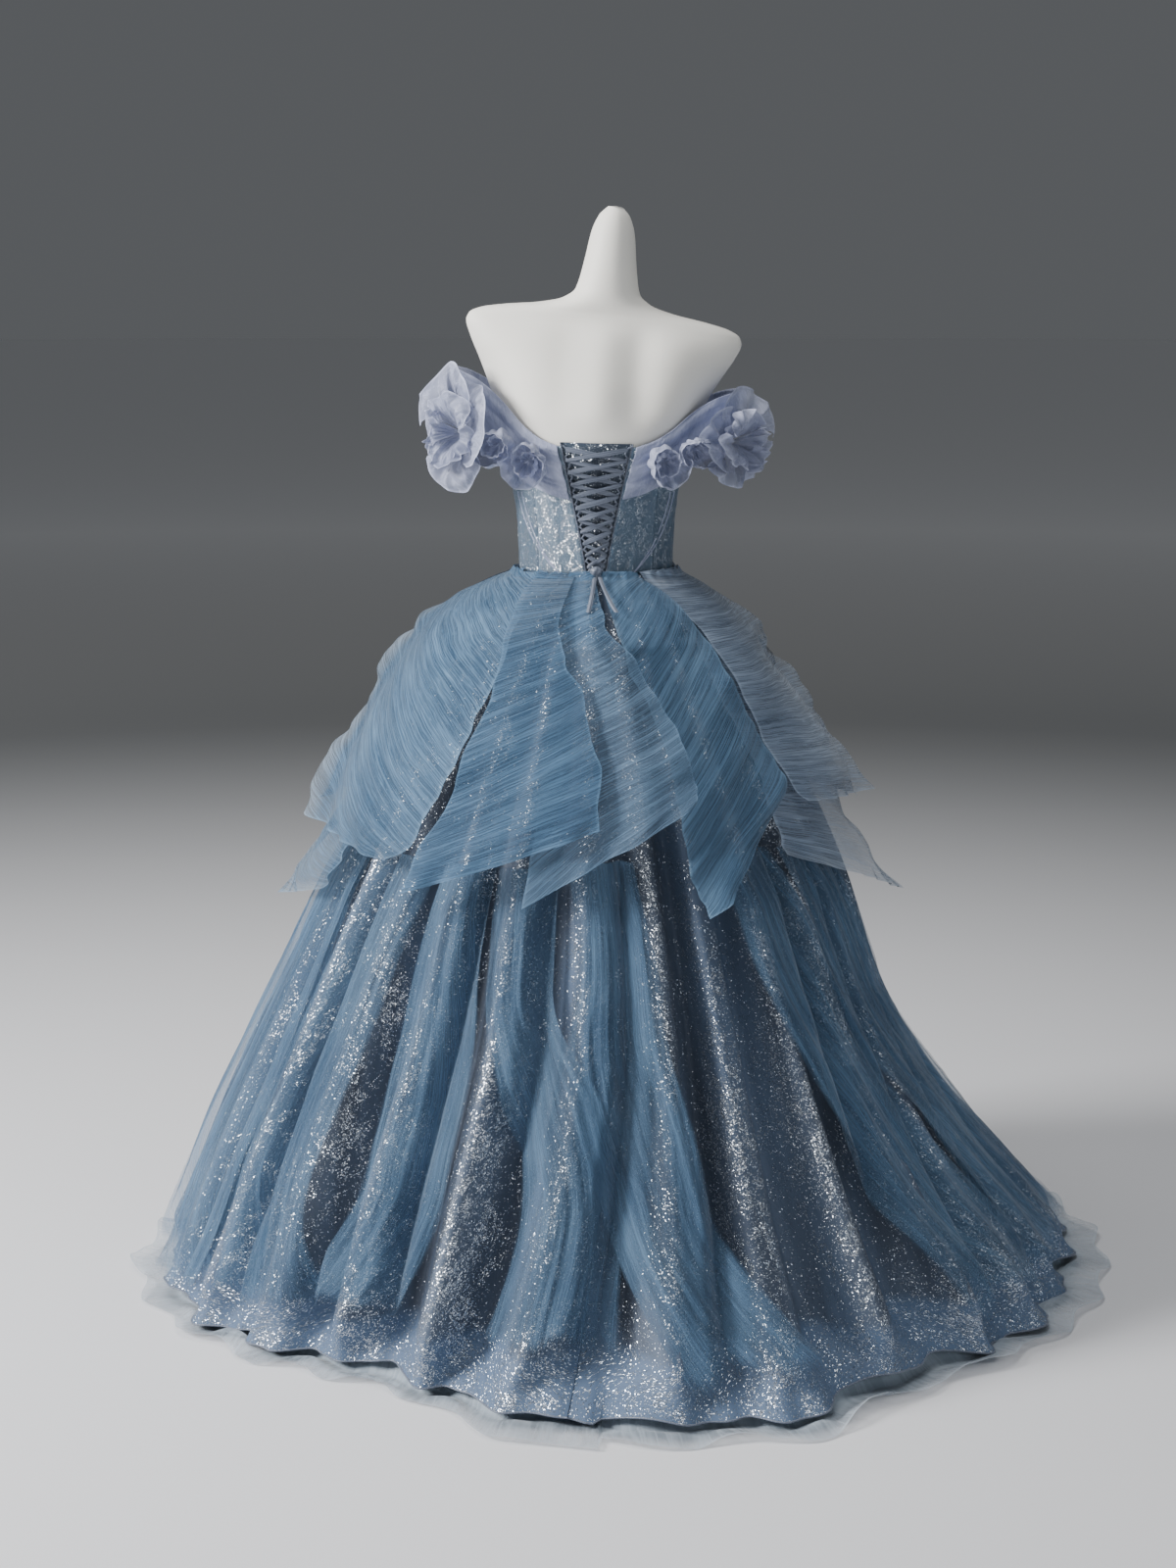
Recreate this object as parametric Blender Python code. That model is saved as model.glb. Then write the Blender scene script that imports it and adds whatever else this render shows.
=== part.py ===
"""Ball gown on a limbless dress form, seen best from its laced back.

Frame: metres, +Z up. The origin is the middle of the stand's underside, on the floor.
The back of the gown faces +Y and its front faces -Y. Angles are in degrees round the
upright axis: 0 at the centre back, 90 towards +X, 180 at the centre front.
Heights on the figure are measured from the waist seam, heights on the skirt from the floor.
"""
import math

import bmesh
import bpy
from mathutils import Vector

# Driving sizes of the whole
WAIST_Z = 1.080
SEAM_GAP = 0.0003
SEAM_ANGLE = math.degrees(SEAM_GAP / 0.100)
CLOTH = 0.0018
TULLE = 0.0014
SKIRT_CLOTH = 0.0020
BODICE_CLEARANCE = 0.0017
LEAN = math.radians(5.4)
LEAN_FROM = 0.11
LEAN_TO = 0.35

# Dress form: height over the waist, half width, depth to the back, depth to the front
TORSO = (
    (-0.280, 0.100, 0.080, 0.080),
    (-0.262, 0.136, 0.106, 0.106),
    (-0.200, 0.154, 0.120, 0.112),
    (-0.110, 0.144, 0.114, 0.104),
    (-0.050, 0.124, 0.098, 0.094),
    (0.000, 0.110, 0.086, 0.086),
    (0.060, 0.112, 0.091, 0.094),
    (0.120, 0.119, 0.100, 0.112),
    (0.170, 0.134, 0.107, 0.124),
    (0.220, 0.149, 0.105, 0.116),
    (0.265, 0.164, 0.094, 0.099),
    (0.300, 0.181, 0.080, 0.084),
    (0.334, 0.199, 0.064, 0.066),
    (0.354, 0.206, 0.052, 0.053),
    (0.365, 0.202, 0.045, 0.046),
    (0.374, 0.185, 0.041, 0.042),
    (0.382, 0.148, 0.039, 0.040),
    (0.389, 0.102, 0.040, 0.041),
    (0.399, 0.066, 0.042, 0.043),
    (0.414, 0.048, 0.043, 0.043),
    (0.455, 0.039, 0.041, 0.040),
    (0.500, 0.032, 0.035, 0.034),
    (0.524, 0.023, 0.026, 0.025),
    (0.537, 0.011, 0.013, 0.013),
)
FORM_COLUMNS = 30

# Stand under the form
POLE_RADIUS = 0.0125
BASE_RADIUS = 0.180
BASE_THICK = 0.012
BASE_EDGE = 0.006
STAND_SIDES = 24

# Bodice: angle round the body and height of its top edge over the waist
BODICE_TOP = (
    (0.0, 0.195),
    (24.0, 0.190),
    (48.0, 0.172),
    (96.0, 0.165),
    (120.0, 0.190),
    (144.0, 0.226),
    (156.0, 0.234),
    (168.0, 0.222),
    (180.0, 0.202),
)
BODICE_LEVELS = (0.0, 0.30, 0.60, 0.84, 1.0)
PANEL_ANGLES = (48.0, 96.0, 144.0)
PANEL_STEP = 12.0
CUP_ANGLE = 152.0
CUP_SPREAD = 17.0
CUP_HEIGHT = 0.165
CUP_REACH = 0.045
CUP_OUT = 0.014

# Lacing: half width of the open back at the waist and at its top
LACING_HALF_LOW = 0.0145
LACING_HALF_TOP = 0.0520
LACING_CURVE = 1.15
LACING_FROM = 0.012
LACING_UNDER_TOP = 0.008
LACING_OFF = 0.0042
LACING_CROSSINGS = 10
RIBBON_WIDTH = 0.0095
RIBBON_THICK = 0.0010
RIBBON_FOLD = 0.0008
LOOP_COUNT = 11
LOOP_REACH = 0.0065
LOOP_RADIUS = 0.0013
LOOP_SCALLOP = (0.10, 1.0, 0.92)
LOOPS_BELOW = 0.008
LOOPS_UNDER_TOP = 0.004
LOOPS_OFF = 0.0020
MODESTY_THICK = 0.0010
MODESTY_CLEARANCE = 0.0013
KNOT_SIZE = (0.0085, 0.0055, 0.0070)
KNOT_OFF = 0.012
TAIL_ROOT_HALF = 0.004
TAIL_DROPS = (0.0, 0.012, 0.026, 0.042)
TAIL_SPREADS = (2.2, 5.5)
TAIL_LAYER = 4.3
TAIL_OFF = 0.0021

# Skirt flutes: angle of the ridge at mid height, its angle at the hem, its reach at the hem
FLUTES = (
    (1.3, 10.0, 0.756),
    (17.5, 22.0, 0.692),
    (31.0, 35.0, 0.668),
    (45.7, 47.0, 0.690),
    (59.0, 59.0, 0.712),
    (73.0, 72.0, 0.716),
    (87.0, 86.0, 0.714),
    (100.0, 99.0, 0.704),
    (113.0, 112.0, 0.690),
    (126.0, 125.0, 0.672),
    (139.0, 138.0, 0.656),
    (152.0, 151.0, 0.646),
    (164.0, 164.0, 0.640),
    (177.0, 177.0, 0.640),
    (190.0, 190.0, 0.642),
    (203.0, 203.0, 0.652),
    (216.0, 216.0, 0.668),
    (229.0, 229.0, 0.700),
    (241.0, 241.0, 0.752),
    (253.0, 252.0, 0.815),
    (264.0, 263.0, 0.798),
    (275.0, 274.0, 0.788),
    (286.0, 286.0, 0.780),
    (297.0, 298.0, 0.772),
    (309.0, 310.0, 0.764),
    (323.0, 324.0, 0.756),
    (337.5, 339.0, 0.815),
    (348.0, 352.0, 0.800),
)
FLUTES_PER_GORE = 4
FLUTE_COLUMNS = (0.125, 0.375, 0.625, 0.875)
GORE_SEAM_COLUMN = 2
GORE_NAMES = (
    "skirt_back_left",
    "skirt_side_back_left",
    "skirt_side_front_left",
    "skirt_front",
    "skirt_side_front_right",
    "skirt_side_back_right",
    "skirt_back_right",
)
FLUTE_SLANT_FROM = 0.45

# Skirt body: height over the floor, reach at the back, left, front and right, flute depth,
# and the part of each flute's own spread at the hem
SKIRT = (
    (1.0796, 0.0905, 0.1140, 0.0905, 0.1140, 0.0000, 0.00),
    (1.0400, 0.1360, 0.1560, 0.1280, 0.1540, 0.0040, 0.00),
    (0.8000, 0.2860, 0.3020, 0.2560, 0.2880, 0.0160, 0.00),
    (0.6300, 0.3720, 0.3800, 0.3300, 0.3560, 0.0240, 0.00),
    (0.4500, 0.4580, 0.4580, 0.4020, 0.4060, 0.0330, 0.00),
    (0.2700, 0.5430, 0.5380, 0.4720, 0.5080, 0.0410, 0.05),
    (0.1150, 0.6180, 0.6050, 0.5360, 0.6440, 0.0460, 0.35),
    (0.0400, 0.6700, 0.6480, 0.5760, 0.7080, 0.0480, 0.72),
    (0.0036, 0.7080, 0.6800, 0.6000, 0.7500, 0.0500, 1.00),
)
HEM_CURL = 0.022
HEM_CURL_TURNS = 19
HEM_CURL_SWAY = 1.3
HEM_CURL_SWAY_TURNS = 3

# Pale underskirt hem that lies on the floor and shows past the skirt
UNDER_HEM_INNER = 0.560
UNDER_HEM_PAST = 0.026
UNDER_HEM_WAVE = 0.016
UNDER_HEM_WAVES = 15
UNDER_HEM_FLUTE = 0.5
UNDER_HEM_COLUMNS = 60
UNDER_HEM_THICK = 0.0015

# Peplum bell: height over the floor, reach at the back, left, front and right
BELL = (
    (1.0796, 0.0935, 0.1170, 0.0935, 0.1170),
    (1.0620, 0.1230, 0.1560, 0.1180, 0.1440),
    (1.0350, 0.1620, 0.1960, 0.1520, 0.1740),
    (0.9980, 0.2000, 0.2320, 0.1840, 0.2040),
    (0.9560, 0.2340, 0.2620, 0.2120, 0.2320),
    (0.9080, 0.2700, 0.2920, 0.2440, 0.2620),
    (0.8560, 0.3060, 0.3220, 0.2760, 0.2980),
    (0.8000, 0.3380, 0.3520, 0.3080, 0.3400),
    (0.7500, 0.3640, 0.3720, 0.3340, 0.3620),
    (0.7000, 0.3920, 0.4000, 0.3620, 0.3820),
    (0.6500, 0.4200, 0.4280, 0.3920, 0.4160),
    (0.6000, 0.4440, 0.4600, 0.4200, 0.4480),
    (0.5500, 0.4680, 0.4900, 0.4460, 0.4900),
)
LAYER_STEP_TOP = 0.0034
LAYER_STEP_SLOPE = 0.170
LAYER_STEP_MOST = 0.0185
LAYER_BLEND = (0.35, 0.75)
PLEAT_SHARE = 0.78
PLEATS_OPEN = 0.025
ROWS_TO_TOP = 1.35

# Drapes: left angle, left height, right angle and right height, from the top down
PEPLUM_BACK_LEFT = (
    (47.0, 1.0796, 17.0, 1.0796),
    (34.0, 1.0200, 15.0, 1.0350),
    (29.5, 0.9400, 9.5, 0.9820),
    (30.5, 0.8600, 4.0, 0.9340),
    (33.0, 0.7750, 1.0, 0.8800),
    (35.5, 0.7100, -0.5, 0.8180),
    (36.6, 0.6590, -0.5, 0.7560),
)
PEPLUM_BACK_MIDDLE = (
    (22.0, 1.0796, 0.5, 1.0796),
    (15.0, 0.9950, -4.0, 1.0200),
    (13.0, 0.9150, -13.5, 0.9560),
    (12.5, 0.8380, -18.5, 0.8850),
    (12.5, 0.7450, -20.2, 0.8180),
    (13.0, 0.6520, -19.4, 0.7880),
)
PEPLUM_BACK_RIGHT = (
    (-3.5, 1.0796, -34.0, 1.0796),
    (-7.0, 1.0180, -41.0, 1.0520),
    (-10.7, 0.9540, -42.0, 0.9840),
    (-15.0, 0.8840, -43.5, 0.9140),
    (-17.2, 0.8120, -44.5, 0.8540),
    (-17.4, 0.7450, -44.5, 0.8010),
    (-17.5, 0.6900, -36.0, 0.7440),
    (-19.5, 0.6370, -24.0, 0.6560),
)
PEPLUM_LEFT_UPPER = (
    (100.0, 1.0796, 36.0, 1.0796),
    (104.0, 1.0500, 28.0, 1.0180),
    (106.0, 1.0100, 25.0, 0.9500),
    (106.0, 0.9600, 25.0, 0.8850),
    (105.0, 0.9050, 27.0, 0.8200),
    (102.0, 0.8450, 30.0, 0.7600),
    (96.0, 0.7800, 35.0, 0.7150),
    (86.0, 0.7150, 44.0, 0.6900),
)
PEPLUM_LEFT_LOWER = (
    (122.0, 1.0796, 68.0, 1.0796),
    (124.0, 0.9800, 62.0, 0.9900),
    (124.0, 0.8700, 60.0, 0.8900),
    (122.0, 0.7600, 60.0, 0.7900),
    (116.0, 0.6700, 61.0, 0.7100),
    (106.0, 0.6100, 63.0, 0.6600),
    (96.0, 0.5700, 66.0, 0.6250),
)
PEPLUM_RIGHT_UPPER = (
    (-36.0, 1.0796, -104.0, 1.0796),
    (-43.0, 1.0150, -110.0, 1.0300),
    (-46.0, 0.9500, -112.0, 0.9700),
    (-47.0, 0.8900, -112.0, 0.9000),
    (-48.0, 0.8350, -110.0, 0.8300),
    (-50.0, 0.7900, -106.0, 0.7700),
    (-54.0, 0.7650, -100.0, 0.7300),
)
PEPLUM_RIGHT_LOWER = (
    (-38.0, 1.0796, -120.0, 1.0796),
    (-42.0, 0.9700, -122.0, 0.9700),
    (-43.0, 0.8700, -120.0, 0.8600),
    (-44.0, 0.7900, -116.0, 0.7500),
    (-44.5, 0.7300, -110.0, 0.6500),
    (-45.0, 0.6950, -100.0, 0.5700),
)
PEPLUM_FRONT_LEFT = (
    (184.0, 1.0796, 104.0, 1.0796),
    (182.0, 0.9950, 109.0, 1.0300),
    (178.0, 0.9150, 109.0, 0.9700),
    (174.0, 0.8500, 109.0, 0.9000),
    (168.0, 0.7950, 107.0, 0.8300),
    (160.0, 0.7550, 104.0, 0.7600),
    (148.0, 0.7300, 101.0, 0.7100),
)
PEPLUM_FRONT_RIGHT = (
    (-107.0, 1.0796, -172.0, 1.0796),
    (-114.0, 1.0200, -172.0, 0.9850),
    (-115.0, 0.9500, -170.0, 0.9050),
    (-115.0, 0.8800, -168.0, 0.8400),
    (-113.0, 0.8100, -164.0, 0.7850),
    (-110.0, 0.7500, -158.0, 0.7400),
    (-106.0, 0.7100, -148.0, 0.7200),
)
PEPLUM_FRONT_LOWER = (
    (236.0, 1.0796, 126.0, 1.0796),
    (234.0, 0.9600, 127.0, 0.9600),
    (232.0, 0.8500, 127.0, 0.8500),
    (228.0, 0.7500, 128.0, 0.7400),
    (222.0, 0.6700, 132.0, 0.6500),
)

# Streamers: how far they stand over the skirt, and the half depth of their crinkles
STREAMER_LIFT = 0.0060
STREAMER_SEAT = 0.0028
STREAMER_SEAT_ROWS = 1
STREAMER_CRINKLE = 0.0024
STREAMER_HOLLOW = 0.6
STREAMER_COVER = (-3.2, -2.4, -1.6, -0.8, 0.0, 0.8, 1.6, 2.4, 3.2)
STREAMER_COLUMNS = 6
STREAMER_ROWS = 9

# Streamers: height over the floor, then the angle of the left and of the right edge
STREAMERS = {
    "streamer_left": ((0.700, 85.5, 61.5), (0.450, 90.0, 60.0), (0.220, 88.0, 61.0), (0.030, 77.0, 62.0)),
    "streamer_side_back_left": ((0.690, 56.0, 39.0), (0.450, 57.0, 43.0), (0.220, 57.0, 45.0),
                                (0.060, 56.0, 43.0)),
    "streamer_back_left": ((0.690, 36.0, 24.5), (0.480, 33.0, 22.5), (0.280, 30.0, 21.5),
                           (0.130, 37.0, 26.0), (0.080, 40.0, 32.0)),
    "streamer_back_middle": ((0.690, 22.0, 9.0), (0.540, 18.0, 9.0), (0.400, 12.0, 1.0),
                             (0.240, 8.0, -1.5), (0.075, 9.5, -1.5)),
    "streamer_back_right": ((0.700, 6.0, -8.0), (0.540, 2.0, -11.0), (0.400, 0.5, -12.5),
                            (0.240, -3.5, -14.0), (0.120, -8.0, -19.5), (0.045, -12.0, -24.0)),
    "streamer_side_back_right": ((0.700, -29.5, -45.0), (0.560, -33.0, -51.0), (0.400, -41.0, -56.0),
                                 (0.240, -47.0, -62.0), (0.100, -50.0, -66.0), (0.045, -52.0, -70.0)),
    "streamer_right": ((0.700, -47.2, -71.6), (0.500, -55.0, -78.0), (0.300, -64.0, -86.0),
                       (0.120, -70.0, -92.0), (0.050, -74.0, -96.0)),
    "streamer_side_front_right": ((0.720, -100.0, -122.0), (0.400, -104.0, -126.0),
                                  (0.060, -106.0, -124.0)),
    "streamer_front_right": ((0.720, -138.0, -158.0), (0.400, -140.0, -162.0), (0.060, -146.0, -160.0)),
    "streamer_front_left": ((0.720, 150.0, 128.0), (0.400, 152.0, 126.0), (0.060, 146.0, 130.0)),
}

# Off shoulder band: angle at its top and bottom edge, height of both, distance off the body
STRAP = (
    (23.5, 18.5, 0.190, 0.112, 0.0046),
    (34.0, 31.0, 0.199, 0.118, 0.0048),
    (45.0, 44.0, 0.216, 0.128, 0.0052),
    (57.0, 58.0, 0.246, 0.142, 0.0100),
    (72.0, 74.0, 0.276, 0.166, 0.0290),
    (90.0, 90.0, 0.288, 0.188, 0.0480),
    (108.0, 106.0, 0.284, 0.184, 0.0440),
    (124.0, 122.0, 0.262, 0.162, 0.0220),
    (137.0, 135.0, 0.243, 0.148, 0.0060),
    (150.0, 148.0, 0.230, 0.138, 0.0040),
)
STRAP_FOLDS = 3
STRAP_FOLD_DEPTH = 0.0032

# Rolled roses: place along and down the band, distance out, radius, and tilt of the axis
ROSES = {
    "rose_1": (0.200, 0.50, 0.0083, 0.038, (0.25, 0.95, -0.10)),
    "rose_2": (0.343, 0.54, 0.0060, 0.030, (0.60, 0.76, -0.25)),
    "rose_3": (0.800, 0.55, 0.0070, 0.036, (0.45, -0.95, -0.05)),
}
ROSE_TURNS = 2.0
ROSE_COLUMNS = 17
ROSE_LEVELS = ((0.0, 0.30), (0.45, 0.92), (1.0, 0.94))
ROSE_CORE = 0.16
ROSE_RISE_INSIDE = 1.15
ROSE_RISE_OUTSIDE = 0.75

# Open flower at the arm: where it sits on the band, where it faces, how deep its cup is
FLOWER_ALONG = 0.490
FLOWER_DOWN = 0.72
FLOWER_FACING = (0.66, 0.74, 0.06)
FLOWER_CUP = 0.040
FLOWER_FIRST_REACH = 0.006

# Petals: first and last angle round the flower from its top outwards, length, distance out
PETALS = {
    "petal_1": (-78.0, 58.0, 0.096, 0.0052),
    "petal_2": (14.0, 142.0, 0.088, 0.0003),
    "petal_3": (104.0, 232.0, 0.082, -0.0044),
    "petal_4": (186.0, 322.0, 0.056, 0.0047),
}
PETAL_ROWS = 4
PETAL_COLUMNS = 5
PETAL_NARROW = 0.70
PETAL_ROUND = 0.12
PETAL_CURVE = math.radians(111.6)
PETAL_RUFFLE = 0.004
PETAL_RUFFLES = 5.0

# Edges that turn by more than this many degrees are shaded sharp
SHARP_ANGLE = 24.0

# Colours as linear values: red, green, blue, then roughness
FORM_LOOK = (0.76, 0.72, 0.67, 0.55)
STEEL_LOOK = (0.30, 0.31, 0.33, 0.35)
LACE_LOOK = (0.09, 0.12, 0.18, 0.45)
PANEL_LOOK = (0.30, 0.38, 0.50, 0.40)
SATIN_LOOK = (0.36, 0.40, 0.60, 0.35)
RIBBON_LOOK = (0.13, 0.16, 0.23, 0.30)
TULLE_LOOK = (0.10, 0.24, 0.36, 0.80)
PALE_TULLE_LOOK = (0.45, 0.55, 0.60, 0.80)


def smooth_step(value, start, end):
    """Rise smoothly from 0 at start to 1 at end."""
    part = min(max((value - start) / (end - start), 0.0), 1.0)
    return part * part * (3.0 - 2.0 * part)


def read_table(table, at, column):
    """Read one column of a table at a value of its first column, in straight steps."""
    rows = table if table[0][0] < table[-1][0] else table[::-1]
    if at <= rows[0][0]:
        return rows[0][column]
    for low, high in zip(rows, rows[1:]):
        if at <= high[0]:
            part = (at - low[0]) / (high[0] - low[0])
            return low[column] + (high[column] - low[column]) * part
    return rows[-1][column]


def all_round(table, angle, height):
    """Blend the back, left, front and right columns of a table at an angle."""
    back, left, front, right = (read_table(table, height, column) for column in (1, 2, 3, 4))
    along = math.cos(math.radians(angle))
    across = math.sin(math.radians(angle))
    end = back if along > 0.0 else front
    side = left if across > 0.0 else right
    return end * along * along + side * across * across


def round_the_axis(angle, reach, height):
    """Point at a reach from the upright axis."""
    turn = math.radians(angle)
    return Vector((reach * math.sin(turn), reach * math.cos(turn), height))


def lean(point):
    """Tilt the figure above its waist towards -X, as the form stands."""
    x, y, rise = point
    part = min(max((rise - LEAN_FROM) / (LEAN_TO - LEAN_FROM), 0.0), 1.0)
    angle = LEAN * smooth_step(rise, LEAN_FROM, LEAN_TO)
    shift = LEAN * (LEAN_TO - LEAN_FROM) * (part ** 3 - 0.5 * part ** 4)
    shift += LEAN * max(rise - LEAN_TO, 0.0)
    return Vector((x * math.cos(angle) - shift, y, WAIST_Z + rise + x * math.sin(angle)))


def on_torso(angle, rise, out=0.0):
    """Point on the figure before it leans, moved out level by a distance."""
    width = read_table(TORSO, rise, 1)
    depth = read_table(TORSO, rise, 2 if math.cos(math.radians(angle)) > 0.0 else 3)
    sine = math.sin(math.radians(angle))
    cosine = math.cos(math.radians(angle))
    normal = Vector((sine / width, cosine / depth, 0.0)).normalized()
    return Vector((width * sine, depth * cosine, rise)) + normal * out


def on_bodice(angle, rise, out):
    """Point over the bodice, with the fullness of its two cups, before it leans."""
    side = abs((angle + 180.0) % 360.0 - 180.0)
    across = (side - CUP_ANGLE) / CUP_SPREAD
    up = (rise - CUP_HEIGHT) / CUP_REACH
    fullness = CUP_OUT * math.exp(-across * across - up * up)
    return on_torso(angle, rise, out + fullness)


def make_material(look, name):
    material = bpy.data.materials.new(name)
    material.use_nodes = True
    shader = material.node_tree.nodes["Principled BSDF"]
    shader.inputs["Base Color"].default_value = (look[0], look[1], look[2], 1.0)
    shader.inputs["Roughness"].default_value = look[3]
    shader.inputs["Metallic"].default_value = 1.0 if look is STEEL_LOOK else 0.0
    return material


def make_object(name, points, faces, look):
    """Make one named solid from its points and faces, with its faces pointing out."""
    mesh = bpy.data.meshes.new(name)
    mesh.from_pydata([tuple(point) for point in points], [], faces)
    shape = bmesh.new()
    shape.from_mesh(mesh)
    bmesh.ops.recalc_face_normals(shape, faces=shape.faces)
    shape.to_mesh(mesh)
    shape.free()
    mesh.shade_smooth()
    mesh.set_sharp_from_angle(angle=math.radians(SHARP_ANGLE))
    mesh.materials.append(make_material(look, name))
    solid = bpy.data.objects.new(name, mesh)
    bpy.context.collection.objects.link(solid)
    return solid


def grid_normals(rows, away_from=None):
    """Normal at each point of a grid of rows, turned away from an upright line if given."""
    last_row = len(rows) - 1
    last_column = len(rows[0]) - 1
    normals = []
    for i, row in enumerate(rows):
        line = []
        for j, point in enumerate(row):
            down = rows[min(i + 1, last_row)][j] - rows[max(i - 1, 0)][j]
            along = row[min(j + 1, last_column)] - row[max(j - 1, 0)]
            normal = down.cross(along).normalized()
            if away_from is not None:
                outward = Vector((point.x - away_from[0], point.y - away_from[1], 0.0))
                if normal.dot(outward) < 0.0:
                    normal = -normal
            line.append(normal)
        normals.append(line)
    return normals


def moved_in(rows, normals, thickness):
    """The inner side of a wall."""
    return [[point - normal * thickness for point, normal in zip(row, line)]
            for row, line in zip(rows, normals)]


def wall(name, outer, inner, look):
    """Close an outer and an inner grid into one solid wall with four edges."""
    height = len(outer)
    width = len(outer[0])
    points = [point for row in outer for point in row] + [point for row in inner for point in row]
    half = height * width
    faces = []
    for i in range(height - 1):
        for j in range(width - 1):
            a = i * width + j
            b = a + 1
            c = a + width + 1
            d = a + width
            faces += [(a, b, c), (a, c, d)]
            faces += [(c + half, b + half, a + half), (d + half, c + half, a + half)]
    rim = [j for j in range(width)]
    rim += [i * width + width - 1 for i in range(1, height)]
    rim += [(height - 1) * width + j for j in range(width - 2, -1, -1)]
    rim += [i * width for i in range(height - 2, 0, -1)]
    for start, end in zip(rim, rim[1:] + rim[:1]):
        faces.append((start, start + half, end + half))
        faces.append((start, end + half, end))
    return make_object(name, points, faces, look)


def turned(name, rings, look):
    """Close a stack of rings into one solid with a point at each end."""
    count = len(rings[0])
    points = [point for ring in rings for point in ring]
    first = sum(rings[0], Vector()) / count
    last = sum(rings[-1], Vector()) / count
    points += [first, last]
    faces = []
    for i in range(len(rings) - 1):
        for j in range(count):
            a = i * count + j
            b = i * count + (j + 1) % count
            faces += [(a, b, b + count), (a, b + count, a + count)]
    end = (len(rings) - 1) * count
    for j in range(count):
        faces.append(((j + 1) % count, j, len(points) - 2))
        faces.append((end + j, end + (j + 1) % count, len(points) - 1))
    return make_object(name, points, faces, look)


def make_form():
    """The smooth limbless form, whole from its hips to its neck cap."""
    rings = []
    for row in TORSO:
        angles = [360.0 * j / FORM_COLUMNS for j in range(FORM_COLUMNS)]
        rings.append([lean(on_torso(angle, row[0])) for angle in angles])
    return turned("dress_form", rings, FORM_LOOK)


def make_disc_stack(name, profile, look):
    """A turned piece on the upright axis, from reach and height pairs."""
    rings = []
    for reach, height in profile:
        rings.append([round_the_axis(360.0 * j / STAND_SIDES, reach, height)
                      for j in range(STAND_SIDES)])
    return turned(name, rings, look)


def make_stand():
    """Pole and round foot that carry the form, hidden under the skirt."""
    foot = ((BASE_RADIUS, 0.0), (BASE_RADIUS, BASE_THICK - BASE_EDGE),
            (BASE_RADIUS - BASE_EDGE, BASE_THICK))
    make_disc_stack("stand_base", foot, STEEL_LOOK)
    pole_top = WAIST_Z + TORSO[0][0] - SEAM_GAP
    pole = ((POLE_RADIUS, BASE_THICK + SEAM_GAP), (POLE_RADIUS, pole_top))
    make_disc_stack("stand_pole", pole, STEEL_LOOK)


def lacing_half(rise):
    """Half width of the open back at a height over the waist."""
    part = min(max(rise / BODICE_TOP[0][1], 0.0), 1.0)
    return LACING_HALF_LOW + (LACING_HALF_TOP - LACING_HALF_LOW) * part ** LACING_CURVE


def lacing_angle(rise, inset=0.0):
    """Angle of the lacing edge at a height over the waist."""
    return math.degrees(math.asin((lacing_half(rise) - inset) / read_table(TORSO, rise, 1)))


def bodice_panel(name, start, end):
    """A panel between two angles; start or end may be a function of the height."""
    steps = 4 if callable(start) or callable(end) else round((end - start) / PANEL_STEP)
    outer = []
    inner = []
    for level in BODICE_LEVELS[::-1]:
        outer_row = []
        inner_row = []
        for j in range(steps + 1):
            first = start(level * BODICE_TOP[0][1]) if callable(start) else start
            last = end(level * BODICE_TOP[0][1]) if callable(end) else end
            angle = first + (last - first) * j / steps
            side = abs((angle + 180.0) % 360.0 - 180.0)
            rise = SEAM_GAP + level * (read_table(BODICE_TOP, side, 1) - SEAM_GAP)
            trim = {0: 0.5, steps: -0.5}.get(j, 0.0) * SEAM_ANGLE
            outer_row.append(lean(on_bodice(angle + trim, rise, BODICE_CLEARANCE + CLOTH)))
            inner_row.append(lean(on_bodice(angle + trim, rise, BODICE_CLEARANCE)))
        outer.append(outer_row)
        inner.append(inner_row)
    wall(name, outer, inner, PANEL_LOOK)


def make_bodice():
    """Seven fitted panels, open at the laced back."""
    side_back, side, side_front = PANEL_ANGLES
    bodice_panel("bodice_back_left", lacing_angle, side_back)
    bodice_panel("bodice_side_left", side_back, side)
    bodice_panel("bodice_front_side_left", side, side_front)
    bodice_panel("bodice_front", side_front, 360.0 - side_front)
    bodice_panel("bodice_front_side_right", 360.0 - side_front, 360.0 - side)
    bodice_panel("bodice_side_right", 360.0 - side, 360.0 - side_back)
    bodice_panel("bodice_back_right", 360.0 - side_back, lambda rise: 360.0 - lacing_angle(rise))


def make_modesty_panel():
    """The panel behind the lacing, level across its top."""
    outer = []
    inner = []
    steps = 4
    for level in BODICE_LEVELS[::-1]:
        rise = SEAM_GAP + level * BODICE_TOP[0][1]
        reach = lacing_angle(rise) - 2.0 * SEAM_ANGLE
        angles = [-reach + 2.0 * reach * j / steps for j in range(steps + 1)]
        outer.append([lean(on_torso(angle, rise, MODESTY_CLEARANCE + MODESTY_THICK))
                      for angle in angles])
        inner.append([lean(on_torso(angle, rise, MODESTY_CLEARANCE)) for angle in angles])
    wall("modesty_panel", outer, inner, LACE_LOOK)


def lacing_levels():
    """Heights of the loops over the waist, from the lowest up."""
    top = BODICE_TOP[0][1] - LACING_UNDER_TOP
    return [LACING_FROM + (top - LACING_FROM) * k / LACING_CROSSINGS
            for k in range(LACING_CROSSINGS + 1)]


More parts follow.
